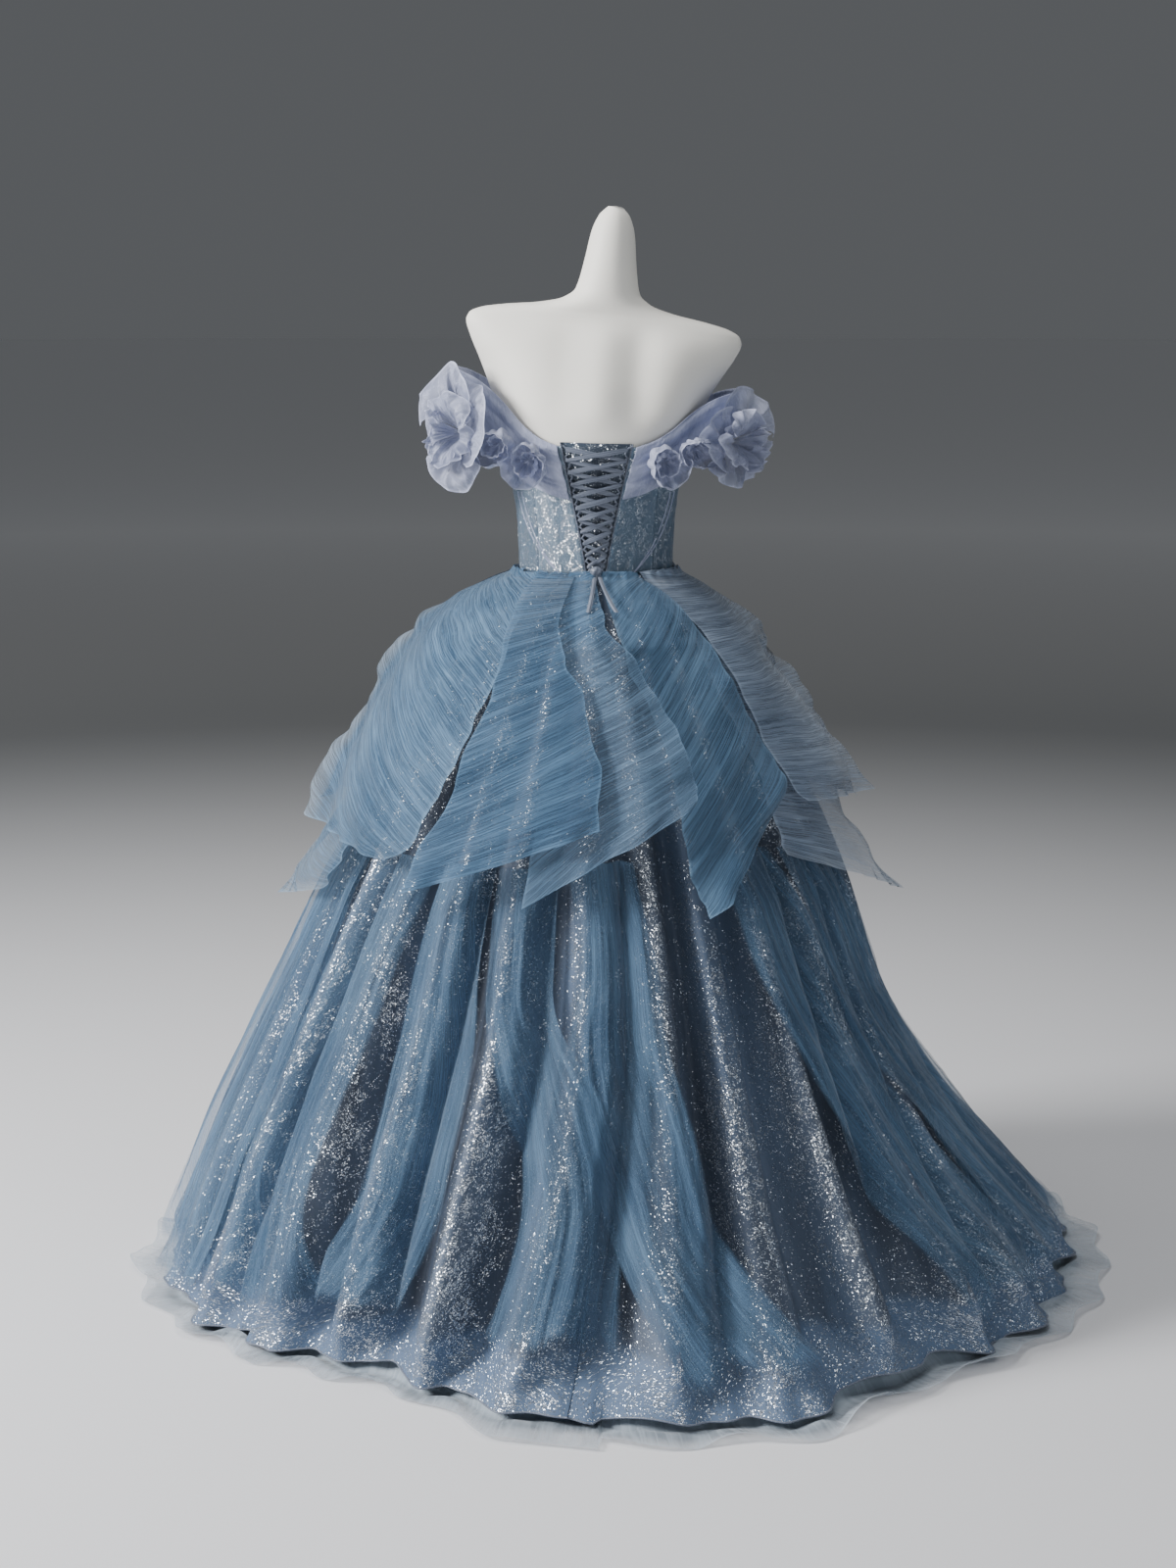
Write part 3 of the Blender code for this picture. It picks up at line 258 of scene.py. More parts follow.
# Drapes: left angle, left height, right angle and right height, from the top down
DRAPES = {
    "peplum_left_lower": ((
        (122, TOP, 68, TOP),
        (124, 0.98, 62, 0.99),
        (124, 0.87, 60, 0.89),
        (122, 0.76, 60, 0.79),
        (116, 0.67, 61, 0.71),
        (106, 0.61, 63, 0.66),
        (96, 0.57, 66, 0.625),
    ), (0.2, 0.2)),
    "peplum_right_lower": ((
        (-38, TOP, -120, TOP),
        (-42, 0.97, -122, 0.97),
        (-43, 0.87, -120, 0.86),
        (-44, 0.79, -116, 0.75),
        (-44.5, 0.73, -110, 0.65),
        (-45, 0.695, -100, 0.57),
    ), (0.2, 0.2)),
    "peplum_front_lower": ((
        (236, TOP, 126, TOP),
        (234, 0.96, 127, 0.96),
        (232, 0.85, 127, 0.85),
        (228, 0.75, 128, 0.74),
        (222, 0.67, 132, 0.65),
    ), (0.2, 0.2)),
    "peplum_left_upper": ((
        (100, TOP, 36, TOP),
        (104, 1.05, 33, 1.018),
        (106, 1.01, 33, 0.95),
        (106, 0.96, 33.5, 0.885),
        (105, 0.905, 35.5, 0.82),
        (102, 0.845, 38, 0.76),
        (96, 0.78, 40.5, 0.715),
        (86, 0.715, 46, 0.69),
    ), (1.4, 1.4)),
    "peplum_right_upper": ((
        (-36, TOP, -104, TOP),
        (-43, 1.015, -110, 1.03),
        (-46, 0.95, -112, 0.97),
        (-47, 0.89, -112, 0.9),
        (-48, 0.835, -110, 0.83),
        (-50, 0.79, -106, 0.77),
        (-54, 0.765, -100, 0.73),
    ), (1.5, 1.5)),
    "peplum_front_left": ((
        (184, TOP, 104, TOP),
        (182, 0.995, 109, 1.03),
        (178, 0.915, 109, 0.97),
        (174, 0.85, 109, 0.9),
        (168, 0.795, 107, 0.83),
        (160, 0.755, 104, 0.76),
        (148, 0.73, 101, 0.71),
    ), (1.4, 2.5)),
    "peplum_front_right": ((
        (-107, TOP, -172, TOP),
        (-114, 1.02, -172, 0.985),
        (-115, 0.95, -170, 0.905),
        (-115, 0.88, -168, 0.84),
        (-113, 0.81, -164, 0.785),
        (-110, 0.75, -158, 0.74),
        (-106, 0.71, -148, 0.72),
    ), (2.5, 1.4)),
    "peplum_back_right": ((
        (-3.5, TOP, -34, TOP),
        (-7, 1.018, -41, 1.052),
        (-10.7, 0.954, -42, 0.984),
        (-15, 0.884, -43.5, 0.914),
        (-17.2, 0.812, -44.5, 0.854),
        (-17.4, 0.745, -44.5, 0.801),
        (-17.5, 0.69, -36, 0.744),
        (-19.5, 0.637, -24, 0.656),
    ), (2.2, 2.2)),
    "peplum_back_middle": ((
        (22, TOP, 0.5, TOP),
        (15, 0.995, -4, 1.02),
        (13, 0.915, -13.5, 0.956),
        (12.5, 0.838, -18.5, 0.885),
        (12.5, 0.745, -20.2, 0.818),
        (13, 0.652, -19.4, 0.788),
    ), (1.5, 3.5)),
    "peplum_back_left": ((
        (47, TOP, 17, TOP),
        (34, 1.02, 15, 1.035),
        (29.5, 0.94, 9.5, 0.982),
        (30.5, 0.86, 4, 0.934),
        (33, 0.775, 1, 0.88),
        (35.5, 0.71, -0.5, 0.818),
        (36.6, 0.659, -0.5, 0.756),
    ), (2.7, 2.7)),
}
DRAPE_ROWS = 170
DRAPE_COLUMNS = 56

# Looks of the drapes: slant of the fine pleats, how thin the body, left edge, right edge and
# foot are, and how far the left and the right edge flare out
DRAPE_LOOKS = {
    "peplum_left_lower": (0.3, 0.25, 1, 0.5, 0.8, 0.024, 0.004),
    "peplum_right_lower": (0.1, 0.15, 0.3, 1, 0.9, 0, 0.022),
    "peplum_front_lower": (0, 0.2, 0.5, 0.5, 0.9, 0.004, 0.004),
    "peplum_left_upper": (0.34, 0, 1, 0.15, 0.45, 0.04, 0),
    "peplum_right_upper": (0.1, 0.05, 0.2, 1, 0.6, 0, 0.04),
    "peplum_front_left": (-0.3, 0.1, 0.6, 1, 0.6, 0, 0.01),
    "peplum_front_right": (0.3, 0.1, 1, 0.6, 0.6, 0.01, 0),
    "peplum_back_right": (-0.75, 0, 0.1, 0.25, 0.4, 0, 0.005),
    "peplum_back_middle": (-0.3, 0.62, 0.5, 0.3, 0.6, 0, 0.004),
    "peplum_back_left": (0, 0.08, 0.1, 0.2, 0.5, 0, 0.004),
}

# Drapes in copies of the main tulle: a darker one as painted shade on the back drapes, a lighter,
# greyer one as painted light on the right drapes
DRAPE_TULLE = {
    "peplum_back_left": "shaded",
    "peplum_back_middle": "shaded",
    "peplum_right_upper": "painted_lit",
    "peplum_right_lower": "painted_lit",
}

# Streamers: how far they stand over the skirt, and the half depth of their crinkles
STREAMER_LIFT = 0.006
STREAMER_SEAT = 0.0028
STREAMER_SPREAD = 3.2
STREAMER_WIDER = 3.0
STREAMER_ROWS = 90
STREAMER_COLUMNS = 80

# Streamers: height over the floor, then the angle of the left and of the right edge
STREAMERS = {
    "streamer_left": ((0.7, 85.5, 61.5), (0.45, 90, 60), (0.22, 88, 61),
                      (0.03, 77, 62)),
    "streamer_side_back_left": ((0.69, 56, 39), (0.45, 57, 43), (0.22, 57, 45),
                                (0.06, 56, 43)),
    "streamer_back_left": ((0.69, 36, 24.5), (0.48, 33, 22.5), (0.28, 30, 21.5),
                           (0.13, 37, 26), (0.08, 40, 32)),
    "streamer_back_middle": ((0.69, 22, 9), (0.54, 18, 9), (0.4, 12, 1),
                             (0.24, 8, -1.5), (0.075, 9.5, -1.5)),
    "streamer_back_right": ((0.7, 6, -8), (0.54, 2, -11), (0.4, 0.5, -12.5),
                            (0.24, -3.5, -14), (0.12, -8, -19.5), (0.045, -12, -24)),
    "streamer_side_back_right": ((0.7, -29.5, -45), (0.56, -33, -51),
                                 (0.4, -41, -56), (0.24, -47, -62),
                                 (0.1, -50, -66), (0.045, -52, -70)),
    "streamer_right": ((0.7, -47.2, -71.6), (0.5, -55, -78), (0.3, -64, -86),
                       (0.12, -70, -92), (0.05, -74, -96)),
    "streamer_side_front_right": ((0.72, -100, -122), (0.4, -104, -126),
                                  (0.06, -106, -124)),
    "streamer_front_right": ((0.72, -138, -158), (0.4, -140, -162),
                             (0.06, -146, -160)),
    "streamer_front_left": ((0.72, 150, 128), (0.4, 152, 126),
                            (0.06, 146, 130)),
}

# Off shoulder band: part of its length, angle at its top and bottom edge, height of both,
# distance off the body
STRAP = np.array((
    (0, 23.5, 18.5, 0.19, 0.112, 0.0046),
    (1, 34, 31, 0.199, 0.118, 0.0048),
    (2, 45, 44, 0.216, 0.128, 0.0052),
    (3, 57, 58, 0.246, 0.142, 0.01),
    (4, 72, 74, 0.276, 0.166, 0.029),
    (5, 90, 90, 0.288, 0.188, 0.048),
    (6, 108, 106, 0.284, 0.184, 0.044),
    (7, 124, 122, 0.262, 0.162, 0.022),
    (8, 137, 135, 0.243, 0.148, 0.006),
    (9, 150, 148, 0.23, 0.138, 0.004),
))
STRAP_FOLDS = 3
STRAP_FOLD_DEPTH = 0.0032

# Rolled roses: place along and down the band, distance out, radius, and tilt of the axis
ROSES = {
    "rose_1": (0.2, 0.5, 0.0083, 0.038, (0.25, 0.95, -0.1)),
    "rose_2": (0.335, 0.54, 0.02, 0.034, (0.42, 0.88, -0.22)),
    "rose_3": (0.8, 0.55, 0.007, 0.036, (0.45, -0.95, -0.05)),
}
ROSE_TURNS = 2.0
ROSE_LEVELS = np.array(((0.0, 0.34), (0.22, 0.76), (0.45, 0.96), (0.75, 1.0), (1.0, 0.88)))
ROSE_CORE = 0.2
ROSE_SUNK = 0.55
ROSE_TALL = 1.05

# Open flower at the arm: where it sits on the band, where it faces, how deep its cup is
FLOWER_ALONG = 0.49
FLOWER_DOWN = 0.72
FLOWER_FACING = (0.66, 0.74, 0.06)
FLOWER_CUP = 0.04
FLOWER_FIRST_REACH = 0.006

# Petals: first and last angle round the flower from its top outwards, length, distance out
PETALS = {
    "petal_1": (-78, 58, 0.096, 0.0052),
    "petal_2": (14, 142, 0.088, 0.0003),
    "petal_3": (104, 232, 0.082, -0.0044),
    "petal_4": (186, 322, 0.056, 0.0047),
}
PETAL_NARROW = 0.7
PETAL_ROUND = 0.27
PETAL_CURVE = math.radians(111.6)
PETAL_SIZE = 0.94
PETAL_LONGEST = 0.092
FLOWER_SHIFT = (0.01, -0.004, -0.008)

# Sprigs of the lace: pitch, length and half width of their leaves as parts of a sprig, and
# the half width of a stem
LEAF_PITCH = 0.36
LEAF_LONG = 0.55
LEAF_HALF = 0.46
STEM_HALF = 0.0006

# Colours as linear values
FORM_COLOUR = (0.95, 0.925, 0.855)
STEEL_COLOUR = (0.3, 0.31, 0.33)
NET_COLOUR = (0.05, 0.062, 0.088)
NET_LIGHT = (0.095, 0.125, 0.18)
VEIL_COLOUR = (0.105, 0.16, 0.26)
PANEL_DEEP = (0.06, 0.095, 0.14)
PANEL_COLOUR = (0.11, 0.17, 0.24)
# Painted light: a lighter panel colour for the left back panel, on the side the key light falls on
PANEL_PAINTED_LIT = (0.21, 0.265, 0.325)
SILVER = (0.86, 0.9, 0.95)
SILVER_DARK = (0.22, 0.28, 0.36)
ORGANZA_DEEP = (0.185, 0.21, 0.33)
ORGANZA_LIGHT = (0.5, 0.535, 0.7)
RIBBON_DEEP = (0.08, 0.098, 0.14)
RIBBON_LIGHT = (0.21, 0.24, 0.31)
TULLE_DEEP = (0.034, 0.092, 0.175)
TULLE_LIGHT = (0.15, 0.27, 0.415)
# Painted shade: darker tulle colours for the back drapes
PAINTED_SHADE_DEEP = (0.022, 0.068, 0.138)
PAINTED_SHADE_LIGHT = (0.105, 0.21, 0.345)
# Painted light: lighter, greyer tulle colours for the right drapes
PAINTED_LIT_DEEP = (0.12, 0.175, 0.26)
PAINTED_LIT_LIGHT = (0.39, 0.49, 0.64)
# Painted light: the pale colour that thin tulle is mixed towards, for light scattered through it
THIN_PAINTED_LIGHT = (0.4, 0.46, 0.53)
STREAMER_DEEP = (0.05, 0.11, 0.2)
STREAMER_LIGHT = (0.17, 0.295, 0.445)
PALE_DEEP = (0.33, 0.4, 0.47)
PALE_LIGHT = (0.54, 0.6, 0.66)

# Floor: its colours from the gown outwards, where they change, and its rings. The dark grey ring is
# painted shade for the light falling away towards the backdrop, and the far ring is painted lighter
# so that the floor meets the background
FLOOR_COLOUR = (0.78, 0.78, 0.8)
FLOOR_PAINTED_SHADE = (0.25, 0.256, 0.26)
FLOOR_PAINTED_FAR_LIGHT = (0.97, 0.97, 0.97)
FLOOR_PALE_TO = 1.1
FLOOR_DARK_FROM = 6.0
FLOOR_FAR = (5.5, 13.0)
FLOOR_RINGS = (1.0, 2.5, 5.0, 10.0, 25.0, 60.0)
FLOOR_SIDES = 72

# Camera: target, distance, height angle and lens
CAMERA_TARGET = Vector((0.012, 0.0, 0.75))
CAMERA_FAR = 4.5
CAMERA_UP = math.radians(10.0)
CAMERA_LENS = 67.5


def ease(value, start, end):
    """Rise smoothly from 0 at start to 1 at end."""
    part = np.clip((value - start) / (end - start), 0.0, 1.0)
    return part * part * (3.0 - 2.0 * part)


def bulge(distance, width):
    """A soft bump of height 1."""
    return np.exp(-(distance / width) ** 2)


def grid(rows, columns):
    """Parts from 0 to 1 down the rows and along the columns of a grid."""
    return np.linspace(0.0, 1.0, rows)[:, None], np.linspace(0.0, 1.0, columns)[None, :]


def join(*parts):
    """Points from their separate coordinates."""
    return np.stack(np.broadcast_arrays(*parts), axis=-1)


def unit(vectors):
    """Directions of vectors."""
    return vectors / np.maximum(np.linalg.norm(vectors, axis=-1, keepdims=True), 1e-9)


def steps(points, axis):
    """Distances between neighbours along one way of a grid."""
    return np.linalg.norm(np.diff(points, axis=axis), axis=-1)


def running(distances):
    """Running length from 0 along each row."""
    return np.concatenate((0.0 * distances[..., :1], np.cumsum(distances, axis=-1)), axis=-1)


def read(table, at, column):
    """Read one column of a table at values of its first column, on a smooth curve."""
    rows = table if table[0][0] < table[-1][0] else table[::-1]
    x = rows[:, 0]
    y = rows[:, column]
    slope = np.diff(y) / np.diff(x)
    same = slope[:-1] * slope[1:] > 0.0
    both = np.where(same, slope[:-1] + slope[1:], 1.0)
    inner = np.where(same, 2.0 * slope[:-1] * slope[1:] / both, 0.0)
    steep = np.concatenate((slope[:1], inner, slope[-1:]))
    at = np.clip(np.asarray(at, float), x[0], x[-1])
    low = np.clip(np.searchsorted(x, at, side="right") - 1, 0, len(x) - 2)
    wide = x[low + 1] - x[low]
    part = (at - x[low]) / wide
    square = part * part
    cube = square * part
    return (y[low] * (2.0 * cube - 3.0 * square + 1.0) + y[low + 1] * (3.0 * square - 2.0 * cube)
            + wide * steep[low] * (cube - 2.0 * square + part)
            + wide * steep[low + 1] * (cube - square))


def all_round(table, angle, height):
    """Blend the back, left, front and right columns of a table at an angle."""
    back, left, front, right = (read(table, height, column) for column in (1, 2, 3, 4))
    along = np.cos(np.radians(angle))
    across = np.sin(np.radians(angle))
    end = np.where(along > 0.0, back, front)
    side = np.where(across > 0.0, left, right)
    return end * along * along + side * across * across


def polar(angle, reach, height):
    """Points at a reach from the upright axis."""
    turn = np.radians(angle)
    return join(reach * np.sin(turn), reach * np.cos(turn), height)


def lean(points):
    """Tilt the figure above its waist towards -X, as the form stands."""
    x, y, rise = points[..., 0], points[..., 1], points[..., 2]
    part = np.clip((rise - LEAN_FROM) / (LEAN_TO - LEAN_FROM), 0.0, 1.0)
    angle = LEAN * ease(rise, LEAN_FROM, LEAN_TO)
    shift = LEAN * (LEAN_TO - LEAN_FROM) * (part ** 3 - 0.5 * part ** 4)
    shift = shift + LEAN * np.maximum(rise - LEAN_TO, 0.0)
    return join(x * np.cos(angle) - shift, y, WAIST_Z + rise + x * np.sin(angle))


def on_torso(angle, rise, out=0.0):
    """Points on the figure before it leans, moved out level by a distance."""
    sine = np.sin(np.radians(angle))
    cosine = np.cos(np.radians(angle))
    width = read(TORSO, rise, 1)
    depth = np.where(cosine > 0.0, read(TORSO, rise, 2), read(TORSO, rise, 3))
    normal = unit(join(sine / width, cosine / depth))
    return join(width * sine + normal[..., 0] * out, depth * cosine + normal[..., 1] * out, rise)


def side_of(angle):
    """Angle from the centre back, the same on both sides."""
    return np.abs((np.asarray(angle) + 180.0) % 360.0 - 180.0)


def on_bodice(angle, rise, out):
    """Points over the bodice, with the fullness of its two cups, before it leans."""
    across = (side_of(angle) - CUP_ANGLE) / CUP_SPREAD
    up = (rise - CUP_HEIGHT) / CUP_REACH
    return on_torso(angle, rise, out + CUP_OUT * np.exp(-across * across - up * up))


def blend(lattice, rows, columns, a, b):
    """Soft values between the four neighbours of each place on a lattice."""
    first = lattice[rows[0], columns[0]] * (1.0 - b) + lattice[rows[0], columns[1]] * b
    second = lattice[rows[1], columns[0]] * (1.0 - b) + lattice[rows[1], columns[1]] * b
    return first * (1.0 - a) + second * a


def ripple(shape, cells, seed, wrap=False):
    """Smooth random waves from -1 to 1 over a grid, with about so many bumps each way."""
    random = np.random.default_rng(seed)
    lattice = random.uniform(-1.0, 1.0, (cells[0] + 2, cells[1] + 2))
    if wrap:
        lattice[:, cells[1]] = lattice[:, 0]
    down = np.linspace(0.0, cells[0], shape[0])[:, None]
    along = np.linspace(0.0, cells[1], shape[1])[None, :]
    i = down.astype(int)
    j = along.astype(int)
    return blend(lattice, (i, i + 1), (j, j + 1), ease(down - i, 0.0, 1.0), ease(along - j, 0.0, 1.0))


def waves(x, y, seed):
    """Smooth random waves from -1 to 1, about one bump for each unit of x and of y."""
    size = 64
    lattice = np.random.default_rng(seed).uniform(-1.0, 1.0, (size, size))
    x, y = np.broadcast_arrays(x, y)
    i = np.floor(x).astype(int)
    j = np.floor(y).astype(int)
    rows = (i % size, (i + 1) % size)
    columns = (j % size, (j + 1) % size)
    return blend(lattice, rows, columns, ease(x - i, 0.0, 1.0), ease(y - j, 0.0, 1.0))


def away(points):
    """Level directions from the upright axis."""
    return unit(points * np.array((1.0, 1.0, 0.0)))


def lengths(points):
    """Distance along each way of a grid, averaged over the other way: a flat map in metres."""
    v = running(steps(points, 0).mean(axis=1))
    u = running(steps(points, 1).mean(axis=0))
    return np.stack(np.meshgrid(u, v), axis=-1)


def area_of(points):
    """Area of a grid of points."""
    first = np.cross(points[1:, :-1] - points[:-1, :-1], points[:-1, 1:] - points[:-1, :-1])
    second = np.cross(points[1:, :-1] - points[1:, 1:], points[:-1, 1:] - points[1:, 1:])
    return float((np.linalg.norm(first, axis=-1) + np.linalg.norm(second, axis=-1)).sum() / 2.0)


def closed_grid(values):
    """A grid with its first column repeated at its end."""
    return np.concatenate((values, values[:, :1]), axis=1)


def corners(index, way):
    """The four corners of each cell of a grid of numbers, in one of two turns."""
    around = (index[:-1, :-1], index[1:, :-1], index[1:, 1:], index[:-1, 1:])
    return np.stack(around, axis=-1).reshape(-1, 4)[:, ::way]


def make_piece(name, points, look, nodes=(), uv=None, shift=0.0, closed=False, caps=None,
               fields=None, flip=False):
    """A shaded surface from a grid of points; it rides on the root body and stands for nodes."""
    material, slot = look
    count = points[..., 0].size
    index = np.arange(count).reshape(points.shape[:2])
    whole = points
    if closed:
        index = closed_grid(index)
        whole = closed_grid(points)
    way = -1 if flip else 1
    faces = corners(index, way).tolist()
    vertices = points.reshape(-1, 3)
    if caps is not None:
        vertices = np.concatenate((vertices, np.array(caps)))
        for ring, tip, turn in ((index[0], count, way), (index[-1], count + 1, -way)):
            ring = ring.tolist()[::turn]
            faces += [[a, tip, b] for a, b in zip(ring, ring[1:])]
    mesh = bpy.data.meshes.new(name)
    mesh.from_pydata(vertices.tolist(), [], faces)
    if uv is not False:
        uv = lengths(whole) if uv is None else uv
        places = corners(np.arange(whole[..., 0].size).reshape(whole.shape[:2]), way)
        flat = np.zeros((len(mesh.loops), 2), np.float32)
        flat[:places.size] = (uv + shift).reshape(-1, 2)[places.reshape(-1)]
        mesh.uv_layers.new(name="UVMap").data.foreach_set("uv", flat.reshape(-1))
    for field, values in (fields or {}).items():
        attribute = mesh.attributes.new(field, "FLOAT", "POINT")
        spread = np.broadcast_to(values, points.shape[:2]).astype(np.float32)
        attribute.data.foreach_set("value", spread.reshape(-1))
    mesh.shade_smooth()
    mesh.materials.append(material)
    piece = bpy.data.objects.new(name, mesh)
    bpy.context.collection.objects.link(piece)
    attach(piece, "root")
    if nodes:
        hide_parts(*nodes)
    return piece


def make_cloth(name, points, look, nodes, held, rests_on, thick=0.0, **details):
    """A piece of cloth; the width and the length of its cut are worked out from its unfolded area and
    width, but nothing is done with them.
    """
    piece = make_piece(name, points, look, nodes, **details)
    if thick:
        modifier = piece.modifiers.new("thickness", "SOLIDIFY")
        modifier.thickness = thick
        modifier.offset = -1.0
    if details.get("closed"):
        points = closed_grid(points)
    width = max(round(float(steps(points, 1).sum(axis=1).mean()), 3), 0.01)
    length = max(round(area_of(points) / width, 3), 0.01)


class Value:
    """A number or vector that a material's nodes work out, for use in plain arithmetic."""

    def __init__(self, graph, socket):
        self.graph = graph
        self.socket = socket

    def __add__(self, other):
        return self.graph.math("ADD", self, other)

    def __sub__(self, other):
        return self.graph.math("SUBTRACT", self, other)

    def __rsub__(self, other):
        return self.graph.math("SUBTRACT", other, self)

    def __mul__(self, other):
        return self.graph.math("MULTIPLY", self, other)

    def __truediv__(self, other):
        return self.graph.math("DIVIDE", self, other)

    def __gt__(self, other):
        return self.graph.math("GREATER_THAN", self, other)

    def __lt__(self, other):
        return self.graph.math("LESS_THAN", self, other)

    def __abs__(self):
        return self.graph.math("ABSOLUTE", self, 0.0)


class Graph:
    """The nodes of one material, added one at a time."""

    def __init__(self, name):
        self.material = bpy.data.materials.new(name)
        self.material.use_nodes = True
        self.nodes = self.material.node_tree.nodes
        self.links = self.material.node_tree.links

    def node(self, kind, inputs, **settings):
        """Add a node with its settings and inputs, and return all its outputs."""
        node = self.nodes.new("ShaderNode" + kind)
        for key, value in settings.items():
            setattr(node, key, value)
        self.feed(node, inputs)
        return [Value(self, socket) for socket in node.outputs]

    def feed(self, node, inputs):
        """Set or link a node's inputs."""
        for key, value in inputs.items():
            if isinstance(value, Value):
                self.links.new(value.socket, node.inputs[key])
            else:
                node.inputs[key].default_value = value

    def math(self, operation, first, second):
        """One step of arithmetic."""
        return self.node("Math", {0: first, 1: second}, operation=operation)[0]

    def vector(self, operation, first, second=(0.0, 0.0, 0.0)):
        """One step of arithmetic with vectors."""
        return self.node("VectorMath", {0: first, 1: second}, operation=operation)[0]

    def most(self, first, second):
        """The larger of two values."""
        return self.math("MAXIMUM", first, second)

    def mix(self, factor, first, second):
        """Blend two colours."""
        ends = [end if isinstance(end, Value) else (*end, 1.0) for end in (first, second)]
        return self.node("Mix", {0: factor, 6: ends[0], 7: ends[1]}, data_type="RGBA")[2]

    def ramp(self, factor, start, end, **settings):
        """Stretch a value so that start gives 0 and end gives 1, clamped."""
        inputs = {"Value": factor, "From Min": start, "From Max": end}
        return self.node("MapRange", inputs, **settings)[0]

    def uv(self):
        """The place on the flat cloth in metres."""
        return self.node("UVMap", {}, uv_map="UVMap")[0]

    def place(self):
        """The place in the object's own space."""
        return self.node("TexCoord", {})[3]

    def field(self, name):
        """A value that the mesh carries."""
        return self.node("Attribute", {}, attribute_name=name)[2]

    def noise(self, vector, scale, detail=2.0, rough=0.5, turn=0.0, output=0):
        """Smooth noise from 0 to 1, with one scale or with its own scale each way."""
        if isinstance(scale, tuple):
            mapping = {"Vector": vector, "Scale": (*scale, 1.0), "Rotation": (0.0, 0.0, turn)}
            vector = self.node("Mapping", mapping)[0]
            scale = 1.0
        inputs = {"Vector": vector, "Scale": scale, "Detail": detail, "Roughness": rough}
        return self.node("TexNoise", inputs)[output]

    def lines(self, noise, width):
        """Thin lines where noise crosses its middle."""
        return self.ramp(abs(noise - 0.5), width, 0.0)

    def cells(self, vector, scale, random=1.0):
        """Random cells: distance to the centre, colour, centre, and three random numbers."""
        inputs = {"Vector": vector, "Scale": scale, "Randomness": random}
        distance, colour, centre = self.node("TexVoronoi", inputs, voronoi_dimensions="2D")[:3]
        return distance, colour, centre, self.node("SeparateColor", {0: colour})

    def bump(self, height, distance, strength):
        """Raised detail."""
        return self.node("Bump", {"Height": height, "Distance": distance, "Strength": strength})[0]

    def finish(self, **inputs):
        """Set the shader's own inputs and return the material."""
        shader = self.nodes["Principled BSDF"]
        self.feed(shader, {key.replace("_", " "): value for key, value in inputs.items()})
        return self.material


def tulle_material(name, deep, light, lines, body, edge, fades=False, contrast=1.0):
    """Crinkle pleated tulle: thin bright lines along the pleats, see-through where it is thin and
    paler there as painted light through it, and lighter at its rims as a painted highlight.
    """
    graph = Graph(name)
    uv = graph.uv()
    wobble = graph.noise(uv, 11.0, output=1)
    bent = graph.vector("ADD", uv, graph.vector("MULTIPLY", wobble, (0.0, 0.010, 0.0)))
    fine = graph.noise(bent, (5.0, lines), 1.0)
    second = graph.noise(bent, (9.0, lines * 0.62), 1.0, turn=0.05)
    band = graph.ramp(graph.noise(bent, (2.2, lines * 0.16)), 0.30, 0.70)
    cloud = graph.noise(uv, 6.0)
    line = graph.most(graph.lines(fine, 0.10), graph.lines(second, 0.05) * 0.7)
    line = line * contrast + 0.30 * (1.0 - contrast)
    thin = graph.field("thin")
    rim = graph.field("rim")
    # The rim adds a painted highlight to the tone; below it also makes the rolled edge denser
    tone = line * 0.58 + band * 0.20 + (cloud - 0.5) * 1.10 + rim * 0.75
    # Thin tulle turns paler: painted light scattered through the thin net
    pale = graph.ramp(thin, 0.50, 1.0) * (0.0 if fades else 0.50)
    colour = graph.mix(pale, graph.mix(tone, deep, light), THIN_PAINTED_LIGHT)
    dense = line * 0.26 + band * 0.16 + body
    open_net = line * 0.50 + band * 0.14 + edge
    alpha = graph.most((open_net - dense) * thin + dense, rim * 0.80)
    alpha = graph.math("MINIMUM", alpha, 1.0)
    if fades:
        alpha = alpha * graph.ramp(line * 0.35 + graph.field("fade") * 1.3, 0.35, 0.75)
    normal = graph.bump(band * 0.7 + line, 0.0009, 0.7)
    return graph.finish(Base_Color=colour, Alpha=alpha, Normal=normal, Roughness=0.6,
                        Sheen_Weight=0.35, Sheen_Roughness=0.4, Specular_IOR_Level=0.2)


def sprig_mask(graph, uv, scale, reach, turn_spread):
    """Small leafy sprigs, one in each cell, as a mask from 0 to 1."""
    _, _, centre, chance = graph.cells(uv, scale, 0.75)
    local = graph.vector("SUBTRACT", uv, graph.vector("MULTIPLY", centre, (1.0, 1.0, 0.0)))
    turn = chance[0] * turn_spread + 0.5 * (math.pi - turn_spread)
    turned = graph.node("VectorRotate", {"Vector": local, "Angle": turn}, rotation_type="Z_AXIS")
    along, across, _ = graph.node("SeparateXYZ", {0: turned[0]})
    across = abs(across)
    saw = graph.math("FRACT", (along - across) / (reach * LEAF_PITCH), 0.0)
    end = 1.0 - abs(along) / reach
    share = across / graph.most(end * (reach * LEAF_LONG), 0.0004)
    leaf = share * (1.0 - share) * (4.0 * LEAF_HALF) > abs(saw - 0.5)
    within = end > 0.0
    return graph.most(leaf, (across < STEM_HALF) * within) * within


